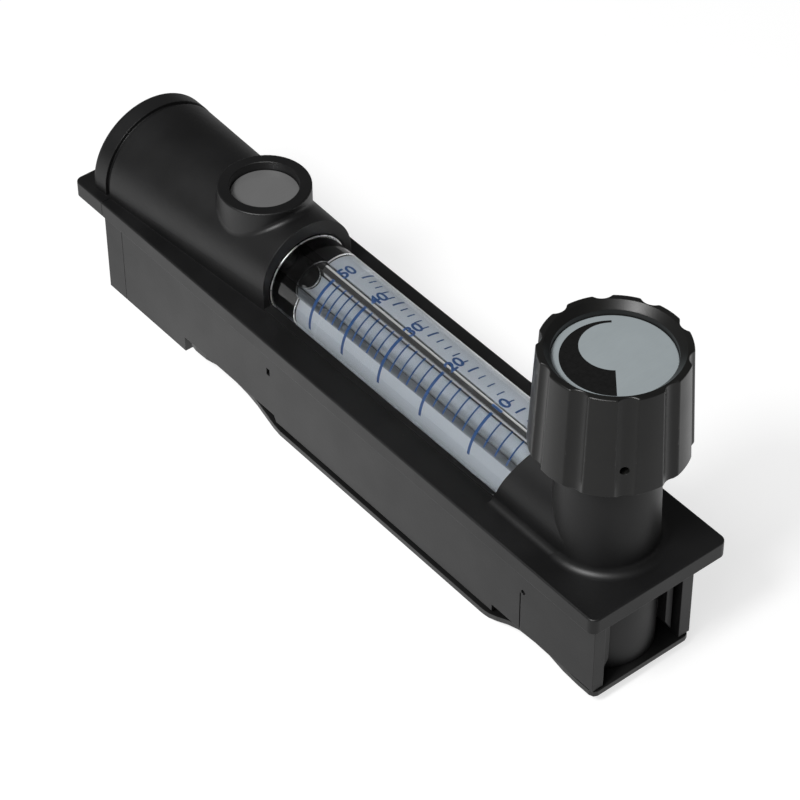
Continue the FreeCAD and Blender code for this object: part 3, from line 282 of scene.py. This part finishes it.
def new_group(name, inputs, outputs):
    """Shader group with float inputs {name: default} and outputs {name: kind}."""
    tree = bpy.data.node_groups.new(name, "ShaderNodeTree")
    for label, value in inputs.items():
        socket = tree.interface.new_socket(name=label, in_out="INPUT", socket_type="NodeSocketFloat")
        socket.default_value = value
    for label, kind in outputs.items():
        tree.interface.new_socket(name=label, in_out="OUTPUT", socket_type="NodeSocket" + kind)
    nodes = Nodes(tree)
    return tree, nodes, nodes.tree.nodes.new("NodeGroupInput"), nodes.tree.nodes.new("NodeGroupOutput")


def moulded_grain():
    """Fine spark-eroded mould texture: two sizes of noise for the height, a slow noise for the tone."""
    tree, n, given, out = new_group(
        "Moulded grain", {"Scale": 4000.0, "Tone Scale": 90.0}, {"Height": "Float", "Tone": "Float"})
    place = n.add("TexCoord").outputs["Object"]
    fine = n.add("TexNoise", {"Vector": place, "Scale": given.outputs["Scale"], "Detail": 2.0})
    coarse = n.add("TexNoise", {
        "Vector": place, "Scale": n.math("MULTIPLY", given.outputs["Scale"], 0.31), "Detail": 1.0})
    tone = n.add("TexNoise", {"Vector": place, "Scale": given.outputs["Tone Scale"], "Detail": 4.0})
    height = n.math("ADD", fine.outputs[0], n.math("MULTIPLY", coarse.outputs[0], 0.8))
    n.put(out, "Height", height)
    n.put(out, "Tone", n.remap(tone.outputs[0], 0.3, 0.7))
    return tree


def soft_edges():
    """Rounds sharp edges in the shading and finds them: the mask is how far the rounded normal
    leans from the true one."""
    tree, n, given, out = new_group(
        "Soft edges", {"Radius": 0.0002}, {"Normal": "Vector", "Edge": "Float"})
    bevel = n.add("Bevel", {"Radius": given.outputs["Radius"]}, samples=6)
    true = n.add("NewGeometry").outputs["Normal"]
    dot = n.add("VectorMath", {0: bevel.outputs[0], 1: true}, operation="DOT_PRODUCT")
    n.put(out, "Normal", bevel.outputs[0])
    n.put(out, "Edge", n.remap(dot.outputs["Value"], 0.995, 0.8))
    return tree


def dust():
    """Sparse light specks: one small dot in a few cells, chosen by the random colour of the cell."""
    tree, n, given, out = new_group(
        "Dust", {"Scale": 260.0, "Amount": 0.3}, {"Mask": "Float"})
    place = n.add("TexCoord").outputs["Object"]
    cells = n.add("TexVoronoi", {"Vector": place, "Scale": given.outputs["Scale"]})
    chance = n.add("SeparateColor", {0: cells.outputs["Color"]})
    reach = n.remap(chance.outputs[0], 0.8, 1.0, 0.0, 0.045)
    speck = n.remap(n.math("SUBTRACT", reach, cells.outputs["Distance"]), 0.0, 0.01)
    n.put(out, "Mask", n.math("MULTIPLY", speck, given.outputs["Amount"]))
    return tree


def turning_marks():
    """Fine rings left by turning: noise stretched round the axis of the part, which is along Z."""
    tree, n, given, out = new_group(
        "Turning marks", {"Across": 5000.0, "Around": 60.0}, {"Height": "Float", "Tone": "Float"})
    place = n.add("SeparateXYZ", {0: n.add("TexCoord").outputs["Object"]})
    stretched = n.add("CombineXYZ", {
        0: n.math("MULTIPLY", place.outputs[0], given.outputs["Around"]),
        1: n.math("MULTIPLY", place.outputs[1], given.outputs["Around"]),
        2: n.math("MULTIPLY", place.outputs[2], given.outputs["Across"])})
    rings = n.add("TexNoise", {"Vector": stretched, "Scale": 1.0, "Detail": 3.0})
    n.put(out, "Height", rings.outputs[0])
    n.put(out, "Tone", n.remap(rings.outputs[0], 0.35, 0.65))
    return tree


def screw_thread():
    """Thread on the wall of a hole along Z: a triangle wave of height plus one pitch per turn,
    kept to one radius and the height below the top."""
    tree, n, given, out = new_group(
        "Screw thread", {"Pitch": 0.00094, "Radius": 0.0043, "Top": 0.0106, "Centre Y": 0.0},
        {"Height": "Float", "Mask": "Float"})
    place = n.add("SeparateXYZ", {0: n.add("TexCoord").outputs["Object"]})
    across = place.outputs[0]
    along = n.math("SUBTRACT", place.outputs[1], given.outputs["Centre Y"])
    turns = n.math("DIVIDE", n.math("ARCTAN2", along, across), 2 * math.pi)
    rise = n.math("ADD", n.math("DIVIDE", place.outputs[2], given.outputs["Pitch"]), turns)
    wave = n.math("PINGPONG", rise, 0.5)
    square = n.math("ADD", n.math("MULTIPLY", across, across), n.math("MULTIPLY", along, along))
    past = n.math("SUBTRACT", n.math("SQRT", square), given.outputs["Radius"])
    near = n.math("LESS_THAN", n.math("ABSOLUTE", past), 0.0001)
    inside = n.math("MULTIPLY", near, n.math("LESS_THAN", place.outputs[2], given.outputs["Top"]))
    n.put(out, "Height", n.math("MULTIPLY", wave, inside))
    n.put(out, "Mask", inside)
    return tree


GROUPS = {}


def shared(maker):
    """Each shared effect is built once."""
    if maker.__name__ not in GROUPS:
        GROUPS[maker.__name__] = maker()
    return GROUPS[maker.__name__]


def tinted(colour, factor, lift=0.0):
    """Colour times a factor plus a lift, held to one."""
    return tuple(min(1.0, c * factor + lift) for c in colour)


def new_material(name):
    material = bpy.data.materials.new(name)
    material.use_nodes = True
    material.node_tree.nodes.clear()
    n = Nodes(material.node_tree)
    out = n.add("OutputMaterial")
    return material, n, out


def moulded(name, colour, roughness, grain=(4200.0, 0.01), edge=0.00018, specks=0.25, lift=1.7,
            specular=0.5):
    """Moulded plastic or rubber: tone and roughness wander a little, edges are burnished,
    a few specks of dust lie on it, and the mould grain is a fine bump."""
    material, n, out = new_material(name)
    texture = n.group(shared(moulded_grain), Scale=grain[0])
    corners = n.group(shared(soft_edges), Radius=edge)
    specks_mask = n.group(shared(dust), Amount=specks)
    tone = n.blend(texture.outputs["Tone"], colour, tinted(colour, lift))
    worn = n.blend(n.math("MULTIPLY", corners.outputs["Edge"], 0.5), tone, tinted(colour, 1.6, 0.006))
    dusty = n.blend(specks_mask.outputs[0], worn, DUST_COLOUR)
    wander = n.remap(texture.outputs["Tone"], 0.0, 1.0, roughness - 0.035, roughness + 0.035)
    rough = n.math("ADD", wander, n.math("MULTIPLY", corners.outputs["Edge"], -0.06))
    rough = n.math("ADD", rough, n.math("MULTIPLY", specks_mask.outputs[0], 0.3), clamp=True)
    bump = n.add("Bump", {
        "Strength": 1.0, "Distance": grain[1] * MM, "Height": texture.outputs["Height"],
        "Normal": corners.outputs["Normal"]})
    shader = n.add("BsdfPrincipled", {
        "Base Color": dusty, "Roughness": rough, "Normal": bump, "IOR": 1.5})
    shader.inputs["Specular IOR Level"].default_value = specular
    n.put(out, "Surface", shader)
    return material


def turned_metal(name, colour, roughness, marks=(5000.0, 60.0), depth=0.002, threads=()):
    """Turned or drawn metal: rings of tone, roughness and height round the axis. Each threaded hole
    is given by the place of its axis along the meter; the hollows of its thread are darkened by painted
    shade."""
    material, n, out = new_material(name)
    rings = n.group(shared(turning_marks), Across=marks[0], Around=marks[1])
    corners = n.group(shared(soft_edges), Radius=0.0001)
    tone = n.blend(rings.outputs["Tone"], tinted(colour, 0.82), colour)
    bright = n.blend(corners.outputs["Edge"], tone, tinted(colour, 1.25))
    rough = n.remap(rings.outputs["Tone"], 0.0, 1.0, roughness - 0.06, roughness + 0.06)
    height = n.math("MULTIPLY", rings.outputs["Height"], depth)
    for centre in threads:
        thread = n.group(shared(screw_thread), Centre_Y=centre)
        height = n.math("ADD", height, n.math("MULTIPLY", thread.outputs["Height"], 0.8))
        # Painted shade: the colour is darkened in the hollows of the thread, which are only a bump
        groove_shade = n.remap(thread.outputs["Height"], 0.05, 0.35, 0.65, 0.0)
        bright = n.blend(n.math("MULTIPLY", groove_shade, thread.outputs["Mask"]), bright,
                         tinted(colour, 0.12))
    bump = n.add("Bump", {"Strength": 1.0, "Distance": MM, "Height": height,
                          "Normal": corners.outputs["Normal"]})
    shader = n.add("BsdfPrincipled", {
        "Base Color": bright, "Roughness": rough, "Normal": bump, "Metallic": 1.0})
    n.put(out, "Surface", shader)
    return material


def clear_glass(name):
    """Clear tube wall: refracts, with faint wipe marks."""
    material, n, out = new_material(name)
    place = n.add("TexCoord").outputs["Object"]
    stretch = n.add("Mapping", {"Vector": place, "Scale": (900.0, 60.0, 900.0)})
    wipes = n.add("TexNoise", {"Vector": stretch, "Scale": 1.0, "Detail": 3.0})
    rough = n.remap(wipes.outputs[0], 0.55, 0.8, 0.0, 0.05)
    shader = n.add("BsdfPrincipled", {
        "Base Color": (0.97, 0.985, 0.99), "Roughness": rough, "IOR": 1.49,
        "Transmission Weight": 1.0, "Metallic": 0.0})
    n.put(out, "Surface", shader)
    return material


def printed_ink(name, colour, roughness=0.35):
    """Screen-printed ink: slightly uneven in tone and gloss."""
    material, n, out = new_material(name)
    texture = n.group(shared(moulded_grain), Scale=9000.0, Tone_Scale=1500.0)
    tone = n.blend(texture.outputs["Tone"], tinted(colour, 0.8), tinted(colour, 1.15))
    rough = n.remap(texture.outputs["Tone"], 0.0, 1.0, roughness - 0.05, roughness + 0.1)
    bump = n.add("Bump", {"Strength": 0.6, "Distance": 0.002 * MM, "Height": texture.outputs["Height"]})
    shader = n.add("BsdfPrincipled", {"Base Color": tone, "Roughness": rough, "Normal": bump})
    n.put(out, "Surface", shader)
    return material


def satin_disc(name, colour, roughness, metallic, coat=0.0):
    """Satin silver film with a fine grain brushed along the disc, with a painted highlight that makes
    it a little lighter at the rim, under a clear coat where asked."""
    material, n, out = new_material(name)
    place = n.add("TexCoord").outputs["Object"]
    brushed = n.add("Mapping", {"Vector": place, "Scale": (400.0, 12000.0, 400.0)})
    lines = n.add("TexNoise", {"Vector": brushed, "Scale": 1.0, "Detail": 2.0})
    texture = n.group(shared(moulded_grain), Scale=6000.0, Tone_Scale=200.0)
    corners = n.group(shared(soft_edges), Radius=0.0003)
    tone = n.blend(n.remap(lines.outputs[0], 0.35, 0.65), tinted(colour, 0.95), colour)
    tone = n.blend(n.math("MULTIPLY", texture.outputs["Tone"], 0.25), tone, tinted(colour, 1.12))
    # Painted highlight: the colour is made lighter at the rim
    tone = n.blend(corners.outputs["Edge"], tone, tinted(colour, 1.4))
    rough = n.remap(texture.outputs["Tone"], 0.0, 1.0, roughness - 0.04, roughness + 0.04)
    bump = n.add("Bump", {"Strength": 0.5, "Distance": 0.003 * MM, "Height": lines.outputs[0],
                          "Normal": corners.outputs["Normal"]})
    shader = n.add("BsdfPrincipled", {
        "Base Color": tone, "Roughness": rough, "Normal": bump, "Metallic": metallic,
        "Coat Weight": coat})
    n.put(out, "Surface", shader)
    return material


# Mesh pieces

def mesh_piece(name, points, faces, material, body, replaces=(), smooth=True):
    """New object from an array of points and an array of faces, riding on a body of the frame."""
    mesh = bpy.data.meshes.new(name)
    mesh.from_pydata(np.asarray(points).tolist(), [], np.asarray(faces).tolist())
    mesh.validate()
    mesh.polygons.foreach_set("use_smooth", np.full(len(mesh.polygons), smooth))
    piece = bpy.data.objects.new(name, mesh)
    bpy.context.scene.collection.objects.link(piece)
    mesh.materials.append(material)
    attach(piece, body)
    if replaces:
        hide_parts(*replaces)
    return piece


def grid_faces(rows, columns, close_rows=False, close_columns=False, flip=False):
    """Quads of a grid of rows by columns points, wrapped where asked."""
    r = np.arange(rows if close_rows else rows - 1)
    c = np.arange(columns if close_columns else columns - 1)
    r, c = np.meshgrid(r, c, indexing="ij")
    r2, c2 = (r + 1) % rows, (c + 1) % columns
    quads = np.stack([r * columns + c, r * columns + c2, r2 * columns + c2, r2 * columns + c], -1)
    quads = quads.reshape(-1, 4)
    return quads[:, ::-1] if flip else quads


def full_turn(steps):
    """Column of equal angles round a full turn."""
    return np.linspace(0, 2 * math.pi, steps, endpoint=False)[:, None]


def about_tube(radius, turn, along):
    """Points at a radius and an angle from the top about the tube axis, and a place along it."""
    x, y, z = np.broadcast_arrays(radius * np.sin(turn), along, TUBE_LEVEL + radius * np.cos(turn))
    return np.stack([x, y, z], -1)


def lean(reading, ends):
    """Angle on the tube that changes evenly along the scale, between those at 10 and at 50."""
    at_ten, at_fifty = ends
    return math.radians(at_ten + (at_fifty - at_ten) * (reading - 10) / 40)


def curved_slabs(spans):
    """Thin closed slabs on the tube: each span is (angle from, angle to, y from, y to, inner
    radius, outer radius). A slab is a closed ring of four corners, swept in equal steps of
    angle about the tube axis, with a cap at both ends."""
    all_points, all_faces, start = [], [], 0
    for turn_a, turn_b, low, high, inner, outer in spans:
        steps = max(3, int(abs(turn_b - turn_a) / ARC_STEP) + 1)
        turn = np.linspace(turn_a, turn_b, steps)[:, None]
        points = about_tube(np.array([inner, inner, outer, outer]), turn,
                            np.array([low, high, high, low])).reshape(-1, 3)
        faces = grid_faces(steps, 4, close_columns=True)
        last = (steps - 1) * 4
        caps = np.array([[3, 2, 1, 0], [last, last + 1, last + 2, last + 3]])
        all_points.append(points)
        all_faces.append(np.vstack([faces, caps]) + start)
        start += len(points)
    return np.vstack(all_points), np.vstack(all_faces)


def outward(piece):
    """Turns every face of a closed piece outwards."""
    mesh = bmesh.new()
    mesh.from_mesh(piece.data)
    bmesh.ops.remove_doubles(mesh, verts=mesh.verts, dist=1e-7)
    bmesh.ops.recalc_face_normals(mesh, faces=mesh.faces)
    mesh.to_mesh(piece.data)
    mesh.free()
    return piece


def thicken(piece, thickness):
    """Gives flat ink its thickness, on the side that its faces look to."""
    shell = piece.modifiers.new("ink", "SOLIDIFY")
    shell.thickness = thickness
    shell.offset = 1.0


def points_and_faces(mesh):
    """Corner places of a mesh as an array, and its faces as tuples."""
    points = np.empty(len(mesh.vertices) * 3)
    mesh.vertices.foreach_get("co", points)
    return points.reshape(-1, 3), [tuple(face.vertices) for face in mesh.polygons]


def reading_place(reading):
    """Place of a reading along the tube: a cubic through the numbered readings, because the
    taper of the bore crowds them towards the top."""
    return np.polyval(np.polyfit(READINGS, READING_PLACES, 3), reading)


def numeral_points(text, height):
    """Flat outline of a number as mesh points and faces, centred on its own middle."""
    curve = bpy.data.curves.new("numeral_" + text, "FONT")
    curve.body = text
    # The figures of the built-in font are 0.7 of its size high; the offset makes them bolder
    curve.size = height / 0.7
    curve.align_x = "CENTER"
    curve.align_y = "CENTER"
    curve.offset = 0.035 * height
    curve.space_character = 0.98
    holder = bpy.data.objects.new("numeral_holder", curve)
    bpy.context.scene.collection.objects.link(holder)
    bpy.context.view_layer.update()
    shaped = holder.evaluated_get(bpy.context.evaluated_depsgraph_get())
    mesh = bpy.data.meshes.new_from_object(shaped)
    points, faces = points_and_faces(mesh)
    bpy.data.objects.remove(holder)
    bpy.data.curves.remove(curve)
    bpy.data.meshes.remove(mesh)
    middle = (points.min(0) + points.max(0)) / 2
    return points - middle, faces


def in_strips(points, faces, width):
    """Cuts a flat mesh along lines of equal x, so that it can bend round a cylinder."""
    mesh = bpy.data.meshes.new("strips")
    mesh.from_pydata(points.tolist(), [], faces)
    cut = bmesh.new()
    cut.from_mesh(mesh)
    for x in np.arange(points[:, 0].min() + width, points[:, 0].max(), width):
        bmesh.ops.bisect_plane(cut, geom=cut.verts[:] + cut.edges[:] + cut.faces[:], dist=1e-9,
                               plane_co=(x, 0, 0), plane_no=(1, 0, 0))
    cut.to_mesh(mesh)
    cut.free()
    points, faces = points_and_faces(mesh)
    bpy.data.meshes.remove(mesh)
    return points, faces


# Operators

class FLOWMETER_OT_finishes(bpy.types.Operator):
    """Gives every solid of the meter its finish"""
    bl_idname = "flow_meter.finishes"
    bl_label = "Finishes"

    def execute(self, context):
        colours = context.scene.flow_meter_colours
        body = moulded("Moulded body black", tuple(colours.body), 0.46)
        finishes = {
            "body_plastic": body,
            "plate_plastic": moulded("Moulded plate black", tuple(colours.plate), 0.36, (3000.0, 0.006)),
            "knob_plastic": moulded("Moulded knob black", tuple(colours.knob), 0.34, (5200.0, 0.005)),
            "backing_white": moulded("White backing", tuple(colours.backing), 0.4, (2500.0, 0.002),
                                     lift=1.04, specks=0.05),
            "stop_plastic": moulded("Natural stop", (0.62, 0.62, 0.58), 0.4, lift=1.1),
            "seal_rubber": moulded("Amber seal", (0.42, 0.1, 0.012), 0.3, (3500.0, 0.004), lift=1.3),
            "plug_plastic": moulded("Turned black plug", (0.01, 0.01, 0.01), 0.4),
            "port_brass": turned_metal("Turned brass", (0.72, 0.5, 0.2), 0.28, threads=PORT_PLACES),
            "stem_steel": turned_metal("Turned steel", (0.6, 0.6, 0.6), 0.25),
            "screw_steel": turned_metal("Blackened screw steel", (0.12, 0.12, 0.12), 0.38),
            "float_steel": turned_metal("Polished float", (0.62, 0.62, 0.63), 0.12, depth=0.0005),
            "dial_silver": satin_disc("Satin dial silver", tuple(colours.dial), 0.42, 0.0),
            "badge_silver": satin_disc("Satin badge silver", tuple(colours.badge), 0.38, 0.3, 1.0),
            "tube_glass": clear_glass("Clear tube"),
        }
        for part in frame["record"]["subparts"]:
            node = frame["nodes"][part["node"]]
            node.material_slots[0].material = finishes[part["material_slot"]]
        return {"FINISHED"}


class FLOWMETER_OT_clear_tube(bpy.types.Operator):
    """Makes the thick clear tube with its tapered bore"""
    bl_idname = "flow_meter.clear_tube"
    bl_label = "Clear tube"

    def execute(self, context):
        """The wall's outline in radius and length, swept round the tube axis."""
        sizes = context.scene.flow_meter_sizes
        low, high = TUBE_LOW.y, TUBE_HIGH.y
        stop, deep, bevel = sizes.stop_radius, sizes.stop_depth, sizes.rim_bevel
        corners = np.array([
            (stop, low), (TUBE_RADIUS - bevel, low), (TUBE_RADIUS, low + bevel),
            (TUBE_RADIUS, high - bevel), (TUBE_RADIUS - bevel, high), (stop, high),
            (stop, high - deep), (sizes.bore_high, high - deep), (sizes.bore_low, low + deep),
            (stop, low + deep)])
        points = about_tube(corners[:, 0], full_turn(sizes.tube_steps), corners[:, 1])
        faces = grid_faces(sizes.tube_steps, len(corners), True, True)
        piece = mesh_piece("clear_tube", points.reshape(-1, 3), faces,
                           bpy.data.materials["Clear tube"], "housing", ("metering_tube",))
        outward(piece)
        piece.data.set_sharp_from_angle(angle=SHARP_ANGLE)
        return {"FINISHED"}


class FLOWMETER_OT_mouth_ring(bpy.types.Operator):
    """Seats the thin bright ring round the tube where it enters the dome"""
    bl_idname = "flow_meter.mouth_ring"
    bl_label = "Mouth ring"

    def execute(self, context):
        """Torus about the tube axis: a round wire swept round the mean radius."""
        sizes = context.scene.flow_meter_sizes
        wire, steps, sides = sizes.ring_wire, 144, 10
        mean = TUBE_RADIUS + wire + sizes.ring_gap
        about = full_turn(sides).T
        points = about_tube(mean + wire * np.cos(about), full_turn(steps),
                            WINDOW_FACE + wire * np.sin(about))
        material = turned_metal("Bright ring", (0.85, 0.85, 0.85), 0.3, (800.0, 800.0), depth=0.0005)
        piece = mesh_piece("mouth_ring", points.reshape(-1, 3), grid_faces(steps, sides, True, True),
                           material, "housing")
        outward(piece)
        return {"FINISHED"}


class FLOWMETER_OT_printed_scale(bpy.types.Operator):
    """Prints the marks and numbers of the scale on the tube"""
    bl_idname = "flow_meter.printed_scale"
    bl_label = "Printed scale"

    def execute(self, context):
        sizes = context.scene.flow_meter_sizes
        blue = printed_ink("Blue scale ink", tuple(context.scene.flow_meter_colours.ink))
        inner = TUBE_RADIUS + sizes.ink_gap
        self.marks(sizes, blue, inner)
        self.numbers(context, sizes, blue, inner)
        return {"FINISHED"}

    def marks(self, sizes, blue, inner):
        """Arcs about the tube axis: left of the numbers to scale, right of them shifted along."""
        def arc(reading, start, end, width, aside=0.0):
            place = reading_place(reading) + aside
            return (lean(reading, start), lean(reading, end), place - width / 2, place + width / 2,
                    inner, inner + sizes.ink_thickness)

        second = sizes.second_scale
        long_spans, short_spans = [], []
        for reading in range(0, 51, 2):
            if reading % 10 == 0:
                long_spans.append(arc(reading, LONG_FROM, LONG_TO, sizes.long_mark))
                long_spans.append(arc(reading, SECOND_LONG_FROM, SECOND_LONG_TO,
                                      sizes.long_mark * SECOND_LONG_SHARE, second))
            else:
                short_spans.append(arc(reading, SHORT_FROM, SHORT_TO, sizes.short_mark))
                short_spans.append(arc(reading, SECOND_SHORT_FROM, SECOND_SHORT_TO,
                                       sizes.short_mark * SECOND_SHORT_SHARE, second))
        for name, spans in (("scale_long_marks", long_spans), ("scale_short_marks", short_spans)):
            points, faces = curved_slabs(spans)
            piece = mesh_piece(name, points, faces, blue, "housing", smooth=False)
            outward(piece)

    def numbers(self, context, sizes, blue, inner):
        """Flat numbers in narrow strips, bent round the tube axis and given the ink's thickness."""
        points, faces, start = [], [], 0
        for reading in range(10, 51, 10):
            flat, shape = in_strips(*numeral_points(str(reading), sizes.numeral_height), STRIP_WIDTH)
            turn = flat[:, 0] / TUBE_RADIUS + lean(reading, NUMBER_MIDDLE)
            points.append(about_tube(inner, turn, flat[:, 1] + reading_place(reading)))
            faces += [tuple(i + start for i in face) for face in shape]
            start += len(flat)
        mesh = bpy.data.meshes.new("scale_numbers")
        mesh.from_pydata(np.vstack(points).tolist(), [], faces)
        piece = bpy.data.objects.new("scale_numbers", mesh)
        context.scene.collection.objects.link(piece)
        mesh.materials.append(blue)
        thicken(piece, sizes.ink_thickness)
        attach(piece, "housing")


class FLOWMETER_OT_dial_mark(bpy.types.Operator):
    """Prints the tapering open and close mark on the knob dial"""
    bl_idname = "flow_meter.dial_mark"
    bl_label = "Dial mark"

    def execute(self, context):
        """Crescent between a circle about the dial's centre and a smaller one off the centre: each
        spoke runs from the smaller circle out to the larger."""
        sizes = context.scene.flow_meter_sizes
        black = printed_ink("Black dial ink", (0.006, 0.006, 0.006), 0.3)
        offset, steps, rings = sizes.crescent_offset, 72, 5
        turn = np.radians(np.linspace(*CRESCENT_SPAN, steps))[:, None]
        off = turn - math.radians(CRESCENT_TOWARDS)
        reach = offset * np.cos(off) + np.sqrt(sizes.crescent_inner ** 2 - (offset * np.sin(off)) ** 2)
        radius = reach + (sizes.crescent_outer - reach) * np.linspace(0, 1, rings)[None, :]
        level = DIAL_HIGH.z + DIAL_INK_GAP
        points = np.stack([radius * np.cos(turn), KNOB_Y + radius * np.sin(turn),
                           level + 0 * radius], -1).reshape(-1, 3)
        piece = mesh_piece("dial_mark", points, grid_faces(steps, rings, flip=True), black, "knob_set",
                           smooth=False)
        thicken(piece, sizes.ink_thickness)
        return {"FINISHED"}


def heading(azimuth, elevation):
    """Unit vector from the meter towards a place at this azimuth and elevation."""
    across = math.cos(elevation)
    return Vector((math.sin(azimuth) * across, -math.cos(azimuth) * across, math.sin(elevation)))


class FLOWMETER_OT_stage(bpy.types.Operator):
    """Sets the camera, floor and lamps"""
    bl_idname = "flow_meter.stage"
    bl_label = "Stage"

    def execute(self, context):
        stage = context.scene.flow_meter_stage
        self.camera(context, stage)
        self.floor(context, stage)
        self.lamps(context, stage)
        self.world(context, stage)
        context.scene.view_settings.view_transform = "Standard"
        return {"FINISHED"}

    def camera(self, context, stage):
        """The camera looks back along its heading, rolled a little and moved aside in its own plane."""
        roll = stage.roll
        back = heading(stage.azimuth, stage.elevation)
        right = Vector((math.cos(stage.azimuth), math.sin(stage.azimuth), 0))
        up = back.cross(right)
        turned_right = right * math.cos(roll) + up * math.sin(roll)
        turned_up = up * math.cos(roll) - right * math.sin(roll)
        place = (Vector((0, 0, stage.target)) + back * stage.distance + turned_right * stage.aside
                 + turned_up * stage.above)
        data = bpy.data.cameras.new("camera")
        data.lens = stage.lens
        data.sensor_width = 36.0
        data.clip_start, data.clip_end = 0.01, 20.0
        camera = bpy.data.objects.new("camera", data)
        context.scene.collection.objects.link(camera)
        axes = Matrix((turned_right, turned_up, back)).transposed().to_4x4()
        camera.matrix_world = Matrix.Translation(place) @ axes
        context.scene.camera = camera

    def floor(self, context, stage):
        """A flat sheet just below the meter, clear when it is looked at from below."""
        material, n, out = new_material("Pale floor")
        place = n.add("TexCoord").outputs["Object"]
        grain = n.add("TexNoise", {"Vector": place, "Scale": 300.0, "Detail": 2.0})
        tone = n.blend(grain.outputs[0], tinted(stage.floor, 0.99), tuple(stage.floor))
        path = n.add("LightPath")
        # Reflections and the tube find the floor dimmer towards the camera and behind the meter
        before = n.add("VectorMath", {0: place, 1: (-0.626, -0.78, 0)}, operation="DOT_PRODUCT")
        behind = n.add("VectorMath", {0: place, 1: (0.6, 0.8, 0)}, operation="DOT_PRODUCT")
        dim = n.math("ADD", n.remap(before.outputs["Value"], 0.0, 0.1, 0.0, 0.55),
                     n.remap(behind.outputs["Value"], 0.03, 0.12, 0.0, 0.6))
        mirrored = n.math("MAXIMUM", path.outputs["Is Glossy Ray"], path.outputs["Is Transmission Ray"])
        share = n.math("SUBTRACT", 1.0, n.math("MULTIPLY", mirrored, dim))
        matt = n.add("BsdfDiffuse", {"Color": n.blend(share, (0, 0, 0), tone)})
        seen = n.math("MAXIMUM", path.outputs["Is Camera Ray"], mirrored)
        strength = n.math("MULTIPLY", n.math("MULTIPLY", seen, share), stage.floor_lift)
        glow = n.add("Emission", {"Color": (1, 1, 1), "Strength": strength})
        lit = n.add("AddShader", {0: matt.outputs[0], 1: glow.outputs[0]})
        below = n.add("NewGeometry").outputs["Backfacing"]
        clear = n.add("BsdfTransparent")
        n.put(out, "Surface", n.add("MixShader", {0: below, 1: lit.outputs[0], 2: clear.outputs[0]}))
        reach, steps = 4.0, 33
        span = np.linspace(-reach, reach, steps)
        x, y = np.meshgrid(span, span, indexing="ij")
        points = np.stack([x, y, np.full_like(x, -stage.floor_drop)], -1).reshape(-1, 3)
        mesh = bpy.data.meshes.new("floor")
        mesh.from_pydata(points.tolist(), [], grid_faces(steps, steps, flip=True).tolist())
        mesh.materials.append(material)
        floor = bpy.data.objects.new("floor", mesh)
        context.scene.collection.objects.link(floor)

    def lamps(self, context, stage):
        """A large round lamp, and a small one in the same direction for crisper lights."""
        for name, size, power, elevation in (
                ("key", stage.key_size, stage.key_power, stage.key_elevation),
                ("side", stage.side_size, stage.side_power, stage.side_elevation)):
            lamp = bpy.data.lights.new(name, "AREA")
            lamp.shape = "DISK"
            lamp.size = size
            lamp.energy = power
            holder = bpy.data.objects.new(name, lamp)
            context.scene.collection.objects.link(holder)
            towards = heading(stage.key_azimuth, elevation)
            holder.location = towards * stage.lamp_distance
            holder.rotation_euler = towards.to_track_quat("Z", "Y").to_euler()

    def world(self, context, stage):
        """Even grey light from all round, dimmer through the tube and white to the camera."""
        world = bpy.data.worlds.new("soft_room")
        context.scene.world = world
        world.use_nodes = True
        world.node_tree.nodes.clear()
        n = Nodes(world.node_tree)
        path = n.add("LightPath")
        through = n.remap(path.outputs["Is Transmission Ray"], 0.0, 1.0, 1.0, 0.4)
        strength = n.math("MAXIMUM", n.math("MULTIPLY", through, stage.ambient),
                          path.outputs["Is Camera Ray"])
        glow = n.add("Background", {"Color": (1, 1, 1), "Strength": strength})
        n.put(n.add("OutputWorld"), "Surface", glow)


class FLOWMETER_PT_panel(bpy.types.Panel):
    """Settings and steps of the flow meter"""
    bl_idname = "FLOWMETER_PT_panel"
    bl_label = "Flow meter"
    bl_space_type = "VIEW_3D"
    bl_region_type = "UI"
    bl_category = "Flow meter"

    def draw(self, context):
        for group in (context.scene.flow_meter_sizes, context.scene.flow_meter_colours,
                      context.scene.flow_meter_stage):
            box = self.layout.box()
            for name in group.__annotations__:
                box.prop(group, name)
        for step in STEPS:
            self.layout.operator(step.bl_idname)


STEPS = (
    FLOWMETER_OT_finishes,
    FLOWMETER_OT_clear_tube,
    FLOWMETER_OT_mouth_ring,
    FLOWMETER_OT_printed_scale,
    FLOWMETER_OT_dial_mark,
    FLOWMETER_OT_stage,
)
CLASSES = (FlowMeterSizes, FlowMeterColours, FlowMeterStage, *STEPS, FLOWMETER_PT_panel)


def register():
    for item in CLASSES:
        bpy.utils.register_class(item)
    bpy.types.Scene.flow_meter_sizes = PointerProperty(type=FlowMeterSizes)
    bpy.types.Scene.flow_meter_colours = PointerProperty(type=FlowMeterColours)
    bpy.types.Scene.flow_meter_stage = PointerProperty(type=FlowMeterStage)


def unregister():
    del bpy.types.Scene.flow_meter_stage
    del bpy.types.Scene.flow_meter_colours
    del bpy.types.Scene.flow_meter_sizes
    for item in reversed(CLASSES):
        bpy.utils.unregister_class(item)


def main():
    register()
    for step in STEPS:
        group, name = step.bl_idname.split(".")
        getattr(getattr(bpy.ops, group), name)()


if __name__ == "__main__":
    main()
